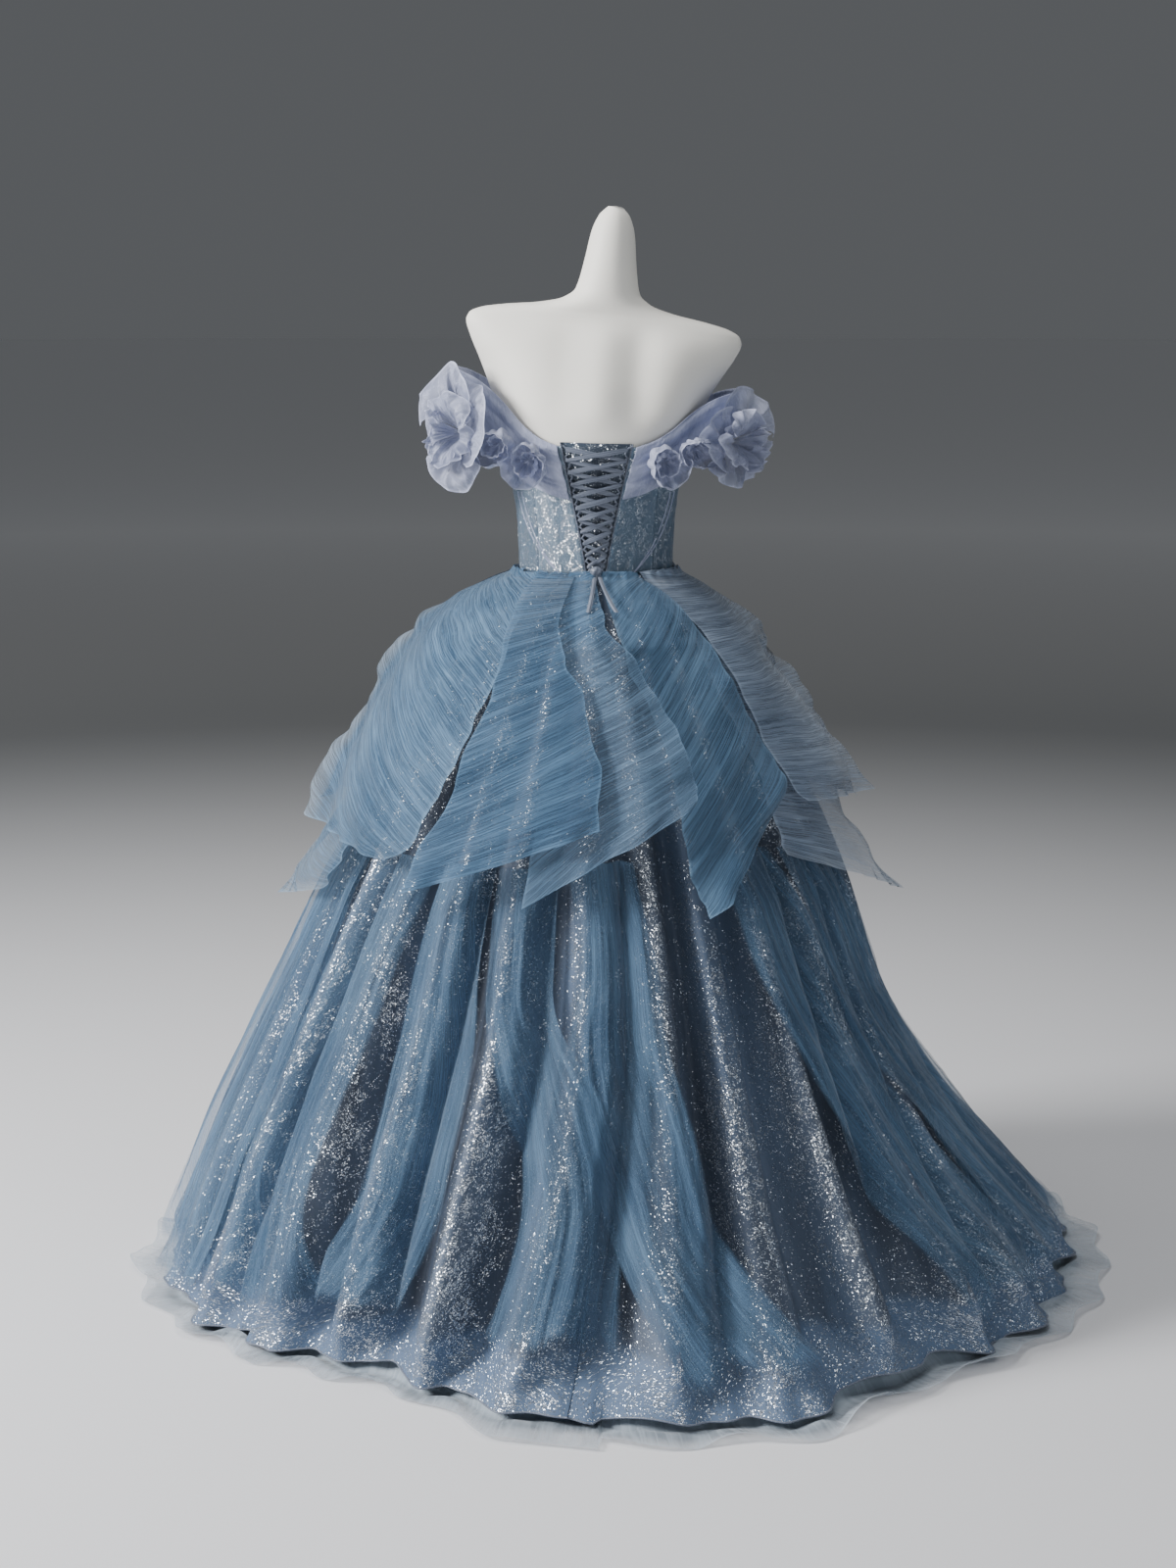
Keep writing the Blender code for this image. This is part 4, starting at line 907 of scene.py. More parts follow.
def glitter_material(name, dark, light, veil, even, finer=1.0):
    """Net with sprigs of silver glitter and loose sparkles; the glitter is made densest along the
    ridges of folds as a painted highlight.
    """
    graph = Graph(name)
    uv = graph.uv()
    big = sprig_mask(graph, uv, 13.0 * finer, 0.040 / finer, 1.3)
    moved = graph.vector("ADD", uv, (0.37, 0.11, 0.0))
    motif = graph.most(big, sprig_mask(graph, moved, 25.0 * finer, 0.020 / finer, 2.4))
    hem = graph.field("hem")
    patch = graph.noise(uv, (8.0, 3.2), 3.0, 0.6)
    # Extra glitter on the fold ridges: a painted highlight where the ridges catch the light
    dense = graph.most(graph.ramp(graph.field("ridge") * 0.30 + patch, 0.56, 0.84), even)
    _, facing, _, flake = graph.cells(uv, 720.0 * finer)
    off_centre, _, _, dot = graph.cells(uv, 430.0 * finer)
    loose = (off_centre < 0.27) * (dot[1] > dense * -0.36 + 0.955)
    in_motif = (flake[0] > dense * -0.44 + 0.90) * motif
    dust = flake[1] > graph.most(dense, hem) * -0.10 + 0.988
    glitter = graph.most(graph.most(in_motif, dust), loose)
    streak = graph.noise(uv, (16.0, 1.6), 3.0, 0.55)
    base = graph.mix(graph.ramp(streak, 0.36, 0.66), dark, light)
    cover = graph.ramp(graph.noise(uv, (7.0, 1.1)), 0.46, 0.66)
    veiled = graph.most(cover * 0.55, hem * 0.85)
    base = graph.mix(veiled, base, veil)
    silver = graph.mix(flake[2] * 0.75 + 0.25, SILVER_DARK, SILVER)
    colour = graph.mix(glitter * (veiled * -0.35 + 1.0), base, silver)
    weave = graph.noise(uv, (700.0, 700.0), 1.0)
    crumple = graph.noise(uv, (40.0, 14.0), 3.0)
    plain = graph.bump(weave * 0.3 + crumple * 2.2 + motif, 0.0008, 0.8)
    tilt = graph.vector("SUBTRACT", facing, (0.5, 0.5, 0.5))
    tilt = graph.node("VectorMath", {0: tilt, 3: glitter * 1.1}, operation="SCALE")[0]
    normal = graph.vector("NORMALIZE", graph.vector("ADD", plain, tilt))
    return graph.finish(Base_Color=colour, Metallic=glitter * 0.8, Normal=normal,
                        Roughness=glitter * -0.40 + 0.64, Specular_IOR_Level=0.35)


def organza_material(name, deep, light, alpha, sheen):
    """Organza or satin: a fine weave, sharp small creases, and a dense rim that is lightened as a
    painted highlight.
    """
    graph = Graph(name)
    uv = graph.uv()
    cloud = graph.ramp(graph.noise(uv, 22.0, 3.0), 0.25, 0.75)
    crease = graph.noise(uv, (70.0, 26.0), 3.0, 0.6)
    sharp = graph.lines(crease, 0.05)
    weave = graph.noise(uv, (1400.0, 1400.0), 1.0)
    rim = graph.field("rim")
    # The rim adds a painted highlight to the colour; it also makes the edge denser
    colour = graph.mix(sharp * 0.16 + cloud + rim * 0.50, deep, light)
    normal = graph.bump(weave * 0.08 + sharp * 0.35 + crease, 0.0014, 0.7)
    opaque = graph.math("MINIMUM", sharp * 0.12 + rim * 0.30 + alpha, 1.0)
    return graph.finish(Base_Color=colour, Alpha=opaque, Normal=normal, Roughness=0.44,
                        Sheen_Weight=sheen, Sheen_Roughness=0.35, Specular_IOR_Level=0.4)


def satin_material(name, deep, light):
    """Satin ribbon with lengthwise creases and a soft shine."""
    graph = Graph(name)
    streak = graph.noise(graph.uv(), (18.0, 520.0), 3.0, 0.6)
    colour = graph.mix(graph.ramp(streak, 0.30, 0.70), deep, light)
    return graph.finish(Base_Color=colour, Normal=graph.bump(streak, 0.0005, 0.6), Roughness=0.34,
                        Sheen_Weight=0.2, Anisotropic=0.5)


def solid_material(name, colour, roughness, metallic, grain, depth):
    """A plain hard surface with a fine grain and a slight change of tone."""
    graph = Graph(name)
    place = graph.place()
    cloud = graph.ramp(graph.noise(place, 6.0, 3.0), 0.3, 0.7)
    fine = graph.noise(place, grain, 3.0)
    tone = graph.mix(cloud, tuple(value * 0.93 for value in colour), colour)
    return graph.finish(Base_Color=tone, Roughness=fine * 0.10 + (roughness - 0.05),
                        Metallic=metallic, Normal=graph.bump(fine, depth, 0.5))


def floor_material():
    """Pale floor round the gown that turns dark grey further off as painted shade, and lighter again
    far away as painted light.
    """
    graph = Graph("studio_paper")
    place = graph.place()
    far = graph.node("VectorMath", {0: place}, operation="LENGTH")[1]
    off = graph.ramp(far, FLOOR_PALE_TO, FLOOR_DARK_FROM, interpolation_type="SMOOTHSTEP")
    beyond = graph.mix(graph.ramp(far, *FLOOR_FAR), FLOOR_PAINTED_SHADE, FLOOR_PAINTED_FAR_LIGHT)
    normal = graph.bump(graph.noise(place, 220.0, 3.0), 0.0006, 0.25)
    return graph.finish(Base_Color=graph.mix(off, FLOOR_COLOUR, beyond), Roughness=0.75,
                        Normal=normal, Specular_IOR_Level=0.15)


def lacing_angle(rise, inset=0.0):
    """Angle of the lacing edge at a height over the waist."""
    part = np.clip(rise / BODICE_TOP[0][1], 0.0, 1.0)
    half = LACING_HALF_LOW + (LACING_HALF_TOP - LACING_HALF_LOW) * part ** LACING_CURVE
    return np.degrees(np.arcsin((half - inset) / read(TORSO, rise, 1)))


def build_form(looks):
    """The smooth form, with a soft groove along the spine and rounded shoulder blades."""
    last = len(TORSO) - 1
    at = np.linspace(0, last, last * FORM_ROWS_PER_STEP + 1)
    rise = np.interp(at, np.arange(last + 1), TORSO[:, 0])[:, None]
    angle = np.arange(FORM_COLUMNS)[None, :] * 360.0 / FORM_COLUMNS
    across = read(TORSO, rise, 1) * np.sin(np.radians(angle))
    behind = ease(np.cos(np.radians(angle)), 0.0, 0.35)
    deeper = LEFT_SHARE + (1.0 - LEFT_SHARE) * ease(-across, -0.02, 0.02)
    relief = SPINE_RIDGE * bulge(across, 0.024)
    relief = relief - BLADE_HOLLOW * deeper * bulge(np.abs(across) - 0.056, 0.024)
    relief = relief + SHOULDER_BLADE * deeper * bulge(np.abs(across) - 0.108, 0.040)
    shown = ease(rise, 0.195, 0.255) * (1.0 - ease(rise, 0.335, 0.385))
    points = lean(on_torso(angle, rise, relief * behind * shown))
    tips = [lean(np.array((0.0, 0.0, z))) for z in (TORSO[0][0], TORSO[-1][0] + NECK_CAP)]
    make_piece("form_shell", points, looks["form"], ["dress_form"], uv=False, closed=True,
               caps=tips, flip=True)


def build_bodice(looks):
    """Seven panels with raised bones, and the panel behind the lacing."""
    rows = 44
    columns = 40
    down, part = grid(rows, columns)
    level = 1.0 - down
    edge = lacing_angle(level * BODICE_TOP[0][1])
    seams = (edge, *PANEL_SEAMS, 360.0 - edge)
    for seed, name in enumerate(PANEL_NAMES):
        first = seams[seed]
        last = seams[seed + 1]
        angle = first + (last - first) * part
        rise = SEAM_GAP + level * (read(BODICE_TOP, side_of(angle), 1) - SEAM_GAP)
        wide = np.radians(last - first) * PANEL_RADIUS
        bones = sum(bulge((part - place) * wide, BONE_WIDE) for place in BONE_PLACES)
        dents = sum(bulge((part - place) * wide, SEAM_DENT_WIDE) for place in (0.0, 1.0))
        relief = BONE_HIGH * bones - SEAM_DENT * dents
        relief = relief + 0.0005 * ripple((rows, columns), (12, 5), 40 + seed)
        points = lean(on_bodice(angle, rise, BODICE_CLEARANCE + CLOTH + relief))
        # The left back panel takes a lighter copy of the lace as painted light, the others the plain
        # lace
        look = looks["panel_painted_lit" if seed == 0 else "panel"]
        make_cloth(name + "_cloth", points, look, [name], "stretched", ["form_shell"],
                   thick=0.0015, shift=(seed * 0.9, 0.0))
    rise = SEAM_GAP + level * BODICE_TOP[0][1]
    angle = lacing_angle(rise) * (2.0 * part - 1.0)
    dent = 0.0004 * ripple((rows, columns), (14, 5), 61)
    points = lean(on_torso(angle, rise, MODESTY_CLEARANCE + MODESTY_THICK + dent))
    make_cloth("modesty_cloth", points, looks["modesty"], ["modesty_panel"], "stretched",
               ["form_shell"])


def build_tube(name, path, radius, look, nodes=(), sides=8):
    """A thin closed cord along a path."""
    ahead = unit(np.gradient(path, axis=0))
    helper = np.tile(np.array((0.0, 0.0, 1.0)), (len(path), 1))
    helper[np.abs(ahead[:, 2]) > 0.95] = (0.0, 1.0, 0.0)
    across = unit(np.cross(ahead, helper))
    up = np.cross(across, ahead)
    turn = (np.arange(sides) * TURN / sides)[None, :, None]
    ring = across[:, None, :] * np.cos(turn) + up[:, None, :] * np.sin(turn)
    make_piece(name, path[:, None, :] + ring * radius, look, nodes, closed=True,
               caps=(path[0], path[-1]), flip=True)


def side_seam(part, shift, side, out):
    """Points along the curved seam beside a back panel, moved round by an angle."""
    angle = SIDE_SEAM_FROM + shift - (SIDE_SEAM_SWEEP + shift) * part ** 1.7
    rise = SIDE_SEAM_TOP * (1.0 - part) + 0.002
    return lean(on_bodice(side * angle, rise, BODICE_CLEARANCE + CLOTH + out))


def build_trims(looks):
    """Piping and a strip on the seams beside the back panels, and the rolled lacing edges."""
    part, width = grid(60, 6)
    for word, side in (("left", 1.0), ("right", -1.0)):
        for number, shift in (("1", 0.0), ("2", SIDE_STRIP_TURN)):
            path = side_seam(part[:, 0], shift, side, 0.0016)
            build_tube("piping_" + word + "_" + number, path, 0.0010, looks["satin"])
        points = side_seam(part, SIDE_STRIP_TURN * width, side, 0.0012)
        make_cloth("side_strip_" + word, points, looks["satin"], [], "stretched", ["form_shell"])
        rise = np.linspace(0.0, BODICE_TOP[0][1], 50)
        path = lean(on_torso(side * lacing_angle(rise), rise, BODICE_CLEARANCE + CLOTH + 0.0006))
        build_tube("lacing_edge_" + word, path, 0.0013, looks["ribbon"])


def build_ribbon(name, node, side, base, looks):
    """A satin ribbon that zigzags up the open back and pinches where it turns at each loop."""
    levels = np.linspace(LACING_FROM, BODICE_TOP[0][1] - LACING_UNDER_TOP, LACING_CROSSINGS + 1)
    part = np.linspace(0.0, 1.0, RIBBON_STEPS + 1)[:-1, None]
    across = np.linspace(-0.5, 0.5, 9)[None, :]
    hollow = 0.0006 * np.cos(math.pi * across) + 0.0003 * np.cos(5.0 * math.pi * across)
    ends = bulge(part, 0.12) + bulge(1.0 - part, 0.12)
    strips = []
    for crossing in range(LACING_CROSSINGS):
        rise = levels[crossing] + (levels[crossing + 1] - levels[crossing]) * part
        lift = base + (RIBBON_THICK + RIBBON_FOLD) * (1.4 if side > 0.0 else 0.2)
        reach = lacing_angle(rise, LOOP_REACH * 0.5) * side * (1.0 - 2.0 * part)
        at = float(crossing * RIBBON_STEPS)
        pinch = 0.72 - 0.30 * ends + 0.16 * waves(part * 3.0, at, 21)
        twist = 0.55 * waves(part * 2.5, at + 0.5, 22)
        half = across * RIBBON_WIDTH * pinch
        out = half * np.sin(twist)
        out = lift + 0.0016 * np.sin(math.pi * part) + hollow + np.abs(out) * 0.6 + out * 0.4
        strips.append(lean(on_torso(reach, rise + half * np.cos(twist), out)))
        side = -side
    points = np.concatenate(strips)
    make_cloth(name, points, looks["ribbon"], [node], "stretched",
               ["loop_cord_left", "loop_cord_right"], uv=lengths(points)[..., ::-1])


def build_lacing(looks):
    """Loops, ribbons, and the knot with its two free ends."""
    floor = MODESTY_CLEARANCE + MODESTY_THICK
    for word, side in (("left", 1.0), ("right", -1.0)):
        bottom = LACING_FROM - LOOPS_BELOW
        top = BODICE_TOP[0][1] - LOOPS_UNDER_TOP
        turn = np.linspace(0.0, LOOP_COUNT, LOOP_COUNT * 14 + 1)
        rise = bottom + (top - bottom) * turn / LOOP_COUNT
        loop = np.abs(np.sin(math.pi * turn)) ** 0.6
        angle = lacing_angle(rise, LOOP_REACH * loop + LOOP_RADIUS)
        path = lean(on_torso(side * angle, rise, floor + LOOPS_OFF + 0.0006 * loop))
        build_tube("loop_cord_" + word, path, LOOP_RADIUS, looks["ribbon"], ["loops_" + word])
    base = floor + LACING_OFF
    build_ribbon("ribbon_first", "lace_first", 1.0, base, looks)
    build_ribbon("ribbon_second", "lace_second", -1.0, base, looks)
    out = base + KNOT_OFF + KNOT_SIZE[1]
    centre = lean(on_torso(np.array(0.0), np.array(KNOT_SIZE[2] + 2.0 * SEAM_GAP), out))
    up = np.radians(np.linspace(-88.0, 88.0, 26))[:, None]
    turn = np.radians(np.arange(40) * 9.0)[None, :]
    reach = np.cos(up) * (1.0 + 0.10 * np.sin(turn * 5.0 + up * 2.0))
    ball = centre + join(KNOT_SIZE[0] * reach * np.sin(turn), KNOT_SIZE[1] * reach * np.cos(turn),
                         KNOT_SIZE[2] * np.sin(up))
    make_piece("knot", ball, looks["ribbon"], ["lace_knot"], closed=True,
               caps=(ball[0].mean(axis=0), ball[-1].mean(axis=0)), flip=True)
    for word, side, spread in (("left", 1.0, TAIL_SPREADS[0]), ("right", -1.0, TAIL_SPREADS[1])):
        drop = np.linspace(0.0, TAIL_LONG, 40)[:, None]
        over = np.linspace(-0.5, 0.5, 9)[None, :]
        middle = bell_points(side * spread * (0.5 + drop / TAIL_LONG), TOP - drop, TAIL_LAYER)
        off = TAIL_OFF + 0.0012 * np.cos(TURN * over) + 0.0015 * np.sin(drop * 260.0)
        points = middle + join(over * TAIL_WIDTH, off, 0.0)
        make_cloth("ribbon_end_" + word, points, looks["ribbon"], [], "hung", ["knot"],
                   uv=lengths(points)[..., ::-1])


def ridges_at(height):
    """Angle of each flute's ridge at a height."""
    slant = 1.0 - np.minimum(height / FLUTE_SLANT_FROM, 1.0)
    return lambda row: row[..., 0] + (row[..., 1] - row[..., 0]) * slant


def ridge_angle(place, height):
    """Angle of a place counted in flutes, at a height."""
    index = np.floor(place).astype(int)
    ridge = ridges_at(height)
    start = ridge(FLUTES[index % len(FLUTES)])
    end = ridge(FLUTES[(index + 1) % len(FLUTES)])
    end = np.where(end < start, end + 360.0, end)
    return start + (end - start) * (place - index)


def flute_place(angle, height):
    """Place counted in flutes of each angle, at one height."""
    ridges = ridges_at(height)(FLUTES)
    ridges = np.append(ridges, ridges[0] + 360.0)
    return np.interp((angle - ridges[0]) % 360.0 + ridges[0], ridges, np.arange(len(ridges)))


def skirt_reach(place, height):
    """Reach of the skirt at a place counted in flutes, at a height."""
    index = np.floor(place).astype(int)
    part = place - index
    reach = all_round(SKIRT, ridge_angle(place, height), height)
    reach = reach + read(SKIRT, height, 5) * np.cos(TURN * part)
    share = 0.5 - 0.5 * np.cos(math.pi * part)
    extra = 0.0
    for which, weight in ((index, 1.0 - share), (index + 1, share)):
        row = FLUTES[which % len(FLUTES)]
        plain = all_round(SKIRT, row[..., 1], SKIRT[-1][0]) + SKIRT[-1][5]
        extra = extra + (row[..., 2] - plain) * weight
    return reach + extra * read(SKIRT, height, 6)


def hem_height(angle, height):
    """Lift the lowest part into the uneven standing curls of the hem."""
    sway = HEM_CURL_SWAY * np.sin(np.radians(angle * HEM_CURL_SWAY_TURNS))
    curl = 0.5 + 0.5 * np.sin(np.radians(angle * HEM_CURL_TURNS) + sway)
    return height + HEM_CURL * curl * np.maximum(1.0 - height / SKIRT[-2][0], 0.0)


def skirt_points(place, height):
    """Points of the skirt with its soft smaller folds and its curling hem."""
    angle = ridge_angle(place, height)
    low = 1.0 - np.clip(height / SKIRT[1][0], 0.0, 1.0)
    fine = 0.0050 * np.sin(2.0 * TURN * place + 1.7 * np.sin(place * 1.9))
    fine = fine + 0.0025 * np.sin(3.0 * TURN * place + 2.4 * np.sin(place * 0.83 + 1.0))
    around = WAVES_ROUND * (angle % 360.0) / 360.0
    near = ease(HEM_BORDER - height, 0.0, HEM_BORDER)
    flute = read(SKIRT, height, 5) * np.cos(TURN * place)
    curl = waves(around * 0.34, 0.0, 31) + 0.40 * waves(around * 0.75, 0.0, 32)
    reach = skirt_reach(place, height) + fine * ease(low, 0.05, 0.8)
    reach = reach + (HEM_SPREAD * curl - HEM_FLATTER * flute) * near
    lift = 0.5 + 0.5 * waves(around * 0.5 + 0.5, 0.0, 33) + 0.30 * waves(around, 0.0, 34)
    rise = HEM_LIFT * np.clip(lift, 0.0, 1.3) * near ** 1.5
    return polar(angle, reach, height + rise + 0.006 * near)


def build_skirt(looks):
    """Seven gores in deep flutes, with a thin dark rolled edge along the hem."""
    bottom = SKIRT[-1][0]
    columns = FLUTES_PER_GORE * SKIRT_COLUMNS_PER_FLUTE
    down, along = grid(SKIRT_ROWS, columns + 1)
    height = TOP + (bottom - TOP) * (0.55 * down + 0.45 * (1.0 - (1.0 - down) ** 2.2))
    hem = []
    for gore, name in enumerate(GORE_NAMES):
        place = GORE_FIRST + FLUTES_PER_GORE * (gore + along)
        places, heights = np.broadcast_arrays(place, height)
        points = skirt_points(places, heights)
        u = running(steps(points, 1))
        middle = u[:, columns // 2:columns // 2 + 1]
        uv = join(u - middle + gore * 1.9, lengths(points)[..., 1])
        # ridge marks where extra glitter goes on the fold ridges, as a painted highlight
        fields = {"ridge": 0.5 + 0.5 * np.cos(TURN * places),
                  "hem": ease(HEM_BORDER + 0.012 - heights, 0.0, 0.025)}
        make_cloth(name + "_cloth", points, looks["skirt"], [name], "gathered",
                   ["bodice_back_left_cloth"], uv=uv, fields=fields)
        hem.append(points[-1, :-1])
    edge = np.concatenate((*hem, hem[0][:1]))
    build_tube("hem_edge", edge, 0.0014, looks["ribbon"], sides=5)


def build_under_hem(looks):
    """Pale tulle that lies rumpled on the floor past the skirt."""
    shape = (26, 720)
    angle = np.arange(shape[1]) * 360.0 / shape[1]
    place = flute_place(angle, 0.0)
    reach = skirt_reach(place, np.full_like(place, SKIRT[-1][0]))
    reach = reach - UNDER_HEM_FLUTE * SKIRT[-1][5] * np.cos(TURN * place)
    around = WAVES_ROUND * angle / 360.0
    outer = reach + UNDER_HEM_SHOWN + UNDER_HEM_WAVE * waves(around * 0.23, 0.0, 41)
    outer = outer + 0.008 * waves(around * 0.6, 0.0, 42)
    part = np.linspace(0.0, 1.0, shape[0])[:, None]
    reaches = UNDER_HEM_INNER + (outer - UNDER_HEM_INNER) * part
    rumple = 0.5 + 0.5 * ripple(shape, (5, 80), 77, wrap=True)
    fine = 0.5 + 0.5 * ripple(shape, (8, 160), 78, wrap=True)
    under = reach - UNDER_HEM_INSIDE - reaches
    stand = np.clip(under, 0.0, UNDER_HEM_STAND) * (0.55 + 0.45 * rumple)
    stand = stand * ease(under, 0.0, 0.010) * ease(part, 0.0, 0.30)
    flat = (0.0190 * rumple ** 2 + 0.0070 * fine) * ease(part, 0.35, 0.75)
    height = 0.0010 + np.maximum(stand, flat * ease(-under, -0.02, 0.03))
    points = polar(angle[None, :], reaches, height)
    fields = {"thin": ease(-under, -0.006, 0.040), "rim": ease(part, 0.94, 1.0)}
    make_cloth("under_hem_tulle", points, looks["pale_tulle"], ["under_hem"], "gathered",
               ["stand_base"], uv=lengths(closed_grid(points))[..., ::-1], closed=True,
               fields=fields)


def layer_step(height):
    """Room for one layer of the peplum at a height, pleats included."""
    return np.minimum(LAYER_STEP_TOP + LAYER_STEP_SLOPE * (TOP - height), LAYER_STEP_MOST)


def bell_points(angle, height, layer):
    """Points in the middle of a layer of the peplum."""
    return polar(angle, all_round(BELL, angle, height) + layer_step(height) * layer, height)


def build_drape(name, table, layers, seed, looks):
    """A sheer drape with soft large folds, frilled free edges and fine slanted pleats."""
    slant, body, thin_left, thin_right, thin_foot, flare_left, flare_right = DRAPE_LOOKS[name]
    down, along = grid(DRAPE_ROWS, DRAPE_COLUMNS)
    indexed = np.column_stack((np.arange(len(table)), np.array(table)))
    at = (len(table) - 1) * down ** ROWS_TO_TOP
    ends = [read(indexed, at, column) for column in (1, 2, 3, 4)]
    angle = ends[0] + (ends[2] - ends[0]) * along
    height = np.minimum(ends[1] + (ends[3] - ends[1]) * along, TOP)
    layer = layers[0] + (layers[1] - layers[0]) * ease(along, *LAYER_BLEND)
    base = bell_points(angle, height, layer)
    u = running(steps(base, 1))
    v = running(steps(base, 0).mean(axis=1))[:, None]
    w = v - slant * u
    opened = ease(TOP - height, 0.0, 0.10)
    room = np.maximum(layer_step(height) - TULLE, 0.0)
    fold = 0.42 * waves(w / 0.062, u / 0.26, seed) + 0.16 * waves(w / 0.024, u / 0.16, seed + 1)
    right_gap = u[:, -1:] - u
    foot_gap = v[-1] - v
    near_left = 1.0 - ease(u, 0.0, 0.100)
    near_right = 1.0 - ease(right_gap, 0.0, 0.100)
    near_foot = 1.0 - ease(foot_gap, 0.0, 0.060)
    frill = waves(v / 0.036, 0.0, seed + 2) + 0.3 * waves(v / 0.018, 0.0, seed + 6)
    flare = flare_left * near_left ** 1.5 + flare_right * near_right ** 1.5
    ruffle = 0.0030 * np.maximum(near_left, near_right) ** 2 * frill
    ruffle = ruffle + flare * (0.85 + 0.30 * frill)
    turn = TURN * u / 0.075 + 2.0 * waves(u / 0.09, 0.0, seed + 3)
    foot_wave = 0.0045 * near_foot ** 2 * np.sin(turn)
    gather = 0.0016 * waves(u / 0.0075, v / 0.09, seed + 7) + 0.0012
    out = (room * fold + ruffle) * opened + foot_wave + (1.0 - ease(v, 0.0, 0.075)) * gather
    points = base + away(base) * out[..., None]
    top_edge = 1.0 - ease(v, 0.0, 0.012)
    points[..., 2] += top_edge * (0.0050 + 0.0030 * waves(u / 0.009, 0.0, seed + 8))
    ragged = 0.0028 * waves(v / 0.024, 0.0, seed + 4) + 0.0050 * waves(v / 0.05, 0.0, seed + 5)
    poke = (near_right ** 2 - near_left ** 2) * ragged * opened
    points = points + unit(np.gradient(points, axis=1)) * poke[..., None]
    thin = np.maximum(thin_left * (1.0 - ease(u, 0.012, 0.095)),
                      thin_right * (1.0 - ease(right_gap, 0.012, 0.095)))
    thin = np.maximum(np.maximum(thin, thin_foot * near_foot), body)
    gap = np.minimum(np.minimum(u, right_gap), foot_gap)
    fields = {"thin": thin * opened, "rim": (1.0 - ease(gap, 0.0, 0.0045)) * opened}
    # Back drapes take the darker tulle copy as painted shade, right drapes the lighter copy as
    # painted light
    make_cloth(name + "_tulle", points, looks[DRAPE_TULLE.get(name, "tulle")], [name], "gathered",
               ["skirt_back_left_cloth"], uv=join(u, w), shift=(seed * 0.37, seed * 0.71),
               fields=fields)


def build_streamer(name, table, seed, looks):
    """A long veil of crinkled tulle that hangs over the skirt and frays out at its foot."""
    down, part = grid(STREAMER_ROWS, STREAMER_COLUMNS)
    table = np.array(table)
    heights = table[0][0] + (table[-1][0] - table[0][0]) * down
    spread = STREAMER_WIDER * (0.35 + 0.65 * ease(down, 0.0, 0.5))
    sway = 2.2 * waves(down * 3.0, 0.0, seed + 5) * ease(down, 0.1, 0.4)
    left = read(table, heights, 1) + spread + sway
    right = read(table, heights, 2) - spread + sway
    angles = left + (right - left) * part
    reach = np.zeros_like(angles)
    for i, height in enumerate(heights[:, 0]):
        for shift in np.linspace(-STREAMER_SPREAD, STREAMER_SPREAD, 7):
            place = flute_place(angles[i] + shift, height)
            reach[i] = np.maximum(reach[i], skirt_reach(place, np.full_like(place, height)))
    hang = ease(down, 0.0, 0.12)
    base = polar(angles, reach + STREAMER_SEAT + (STREAMER_LIFT - STREAMER_SEAT) * hang,
                 hem_height(angles, heights))
    wide = steps(base, 1).sum(axis=1).mean()
    flat = part * wide
    v = down * np.linalg.norm(base[-1] - base[0], axis=-1).mean()
    bent = flat + 0.009 * waves(v / 0.18, flat / 0.10, seed + 6)
    soft = 0.0085 * (0.5 + 0.5 * waves(bent / 0.030, v / 0.30, seed))
    soft = soft + 0.0032 * waves(bent / 0.012, v / 0.16, seed + 1)
    points = base + away(base) * (soft * hang)[..., None]
    points[..., 2] += ease(down, 0.82, 1.0) * 0.020 * waves(flat / 0.035, 0.0, seed + 4)
    points[..., 2] = np.maximum(points[..., 2], 0.004)
    edge_gap = np.minimum(flat, wide - flat)
    frayed = 1.0 - ease(edge_gap, 0.0, 0.060)
    cloud = 0.42 + 0.60 * waves(bent / 0.045, v / 0.40, seed + 2)
    thin = np.clip(np.maximum(frayed, np.maximum(cloud, ease(down, 0.72, 1.0))), 0.0, 1.0)
    fade = np.minimum(ease(edge_gap, 0.0, 0.030), ease(1.0 - down, 0.0, 0.12))
    make_cloth(name + "_tulle", points, looks["streamer"], [name], "hung",
               ["skirt_back_left_cloth"], uv=join(v, bent), shift=(seed * 0.53, seed * 0.29),
               fields={"thin": thin, "rim": 0.0, "fade": fade})


def band_points(along, down, out):
    """Points on the left band before it leans, by parts of its length and of its width."""
    at = np.asarray(along * (len(STRAP) - 1))
    columns = [read(STRAP, at, column) for column in range(1, 6)]
    angle = columns[0] + (columns[1] - columns[0]) * down
    rise = columns[2] + (columns[3] - columns[2]) * down
    return on_bodice(angle, rise, columns[4] + out)


def on_side(points, side):
    """Points of the left side, moved to their own side and leaning with the figure."""
    return lean(points * np.array((side, 1.0, 1.0)))


def build_strap(word, side, looks):
    """The band in soft lengthwise pleats."""
    shape = (60, 150)
    down, along = grid(*shape)
    drift = 0.10 * ripple(shape, (3, 7), 300 + int(side))
    wave = 0.5 - 0.5 * np.cos(TURN * STRAP_FOLDS * (down + drift * 0.4))
    crease = 0.0007 * ripple(shape, (26, 9), 310 + int(side))
    points = on_side(band_points(along, down, CLOTH + STRAP_FOLD_DEPTH * wave ** 0.8 + crease), side)
    make_cloth("band_" + word, points, looks["satin"], ["strap_" + word], "stretched",
               ["form_shell"], thick=0.0009, flip=side < 0.0)


def make_flower_part(name, nodes, root, facing, turn, reach, rise, rim, side, shift, looks):
    """A piece of a flower: reach and rise round its axis at each turn, put on its band."""
    axis = unit(np.array(facing))
    across = unit(np.cross(axis, (0.0, 0.0, 1.0)))
    upward = np.cross(across, axis)
    flat = across * np.cos(turn)[..., None] + upward * np.sin(turn)[..., None]
    points = on_side(root + flat * reach[..., None] + axis * rise[..., None], side)
    make_cloth(name, points, looks["organza"], nodes, "gathered",
               ["band_left" if side > 0.0 else "band_right"], shift=(shift, 0.0),
               fields={"rim": rim}, flip=side < 0.0)


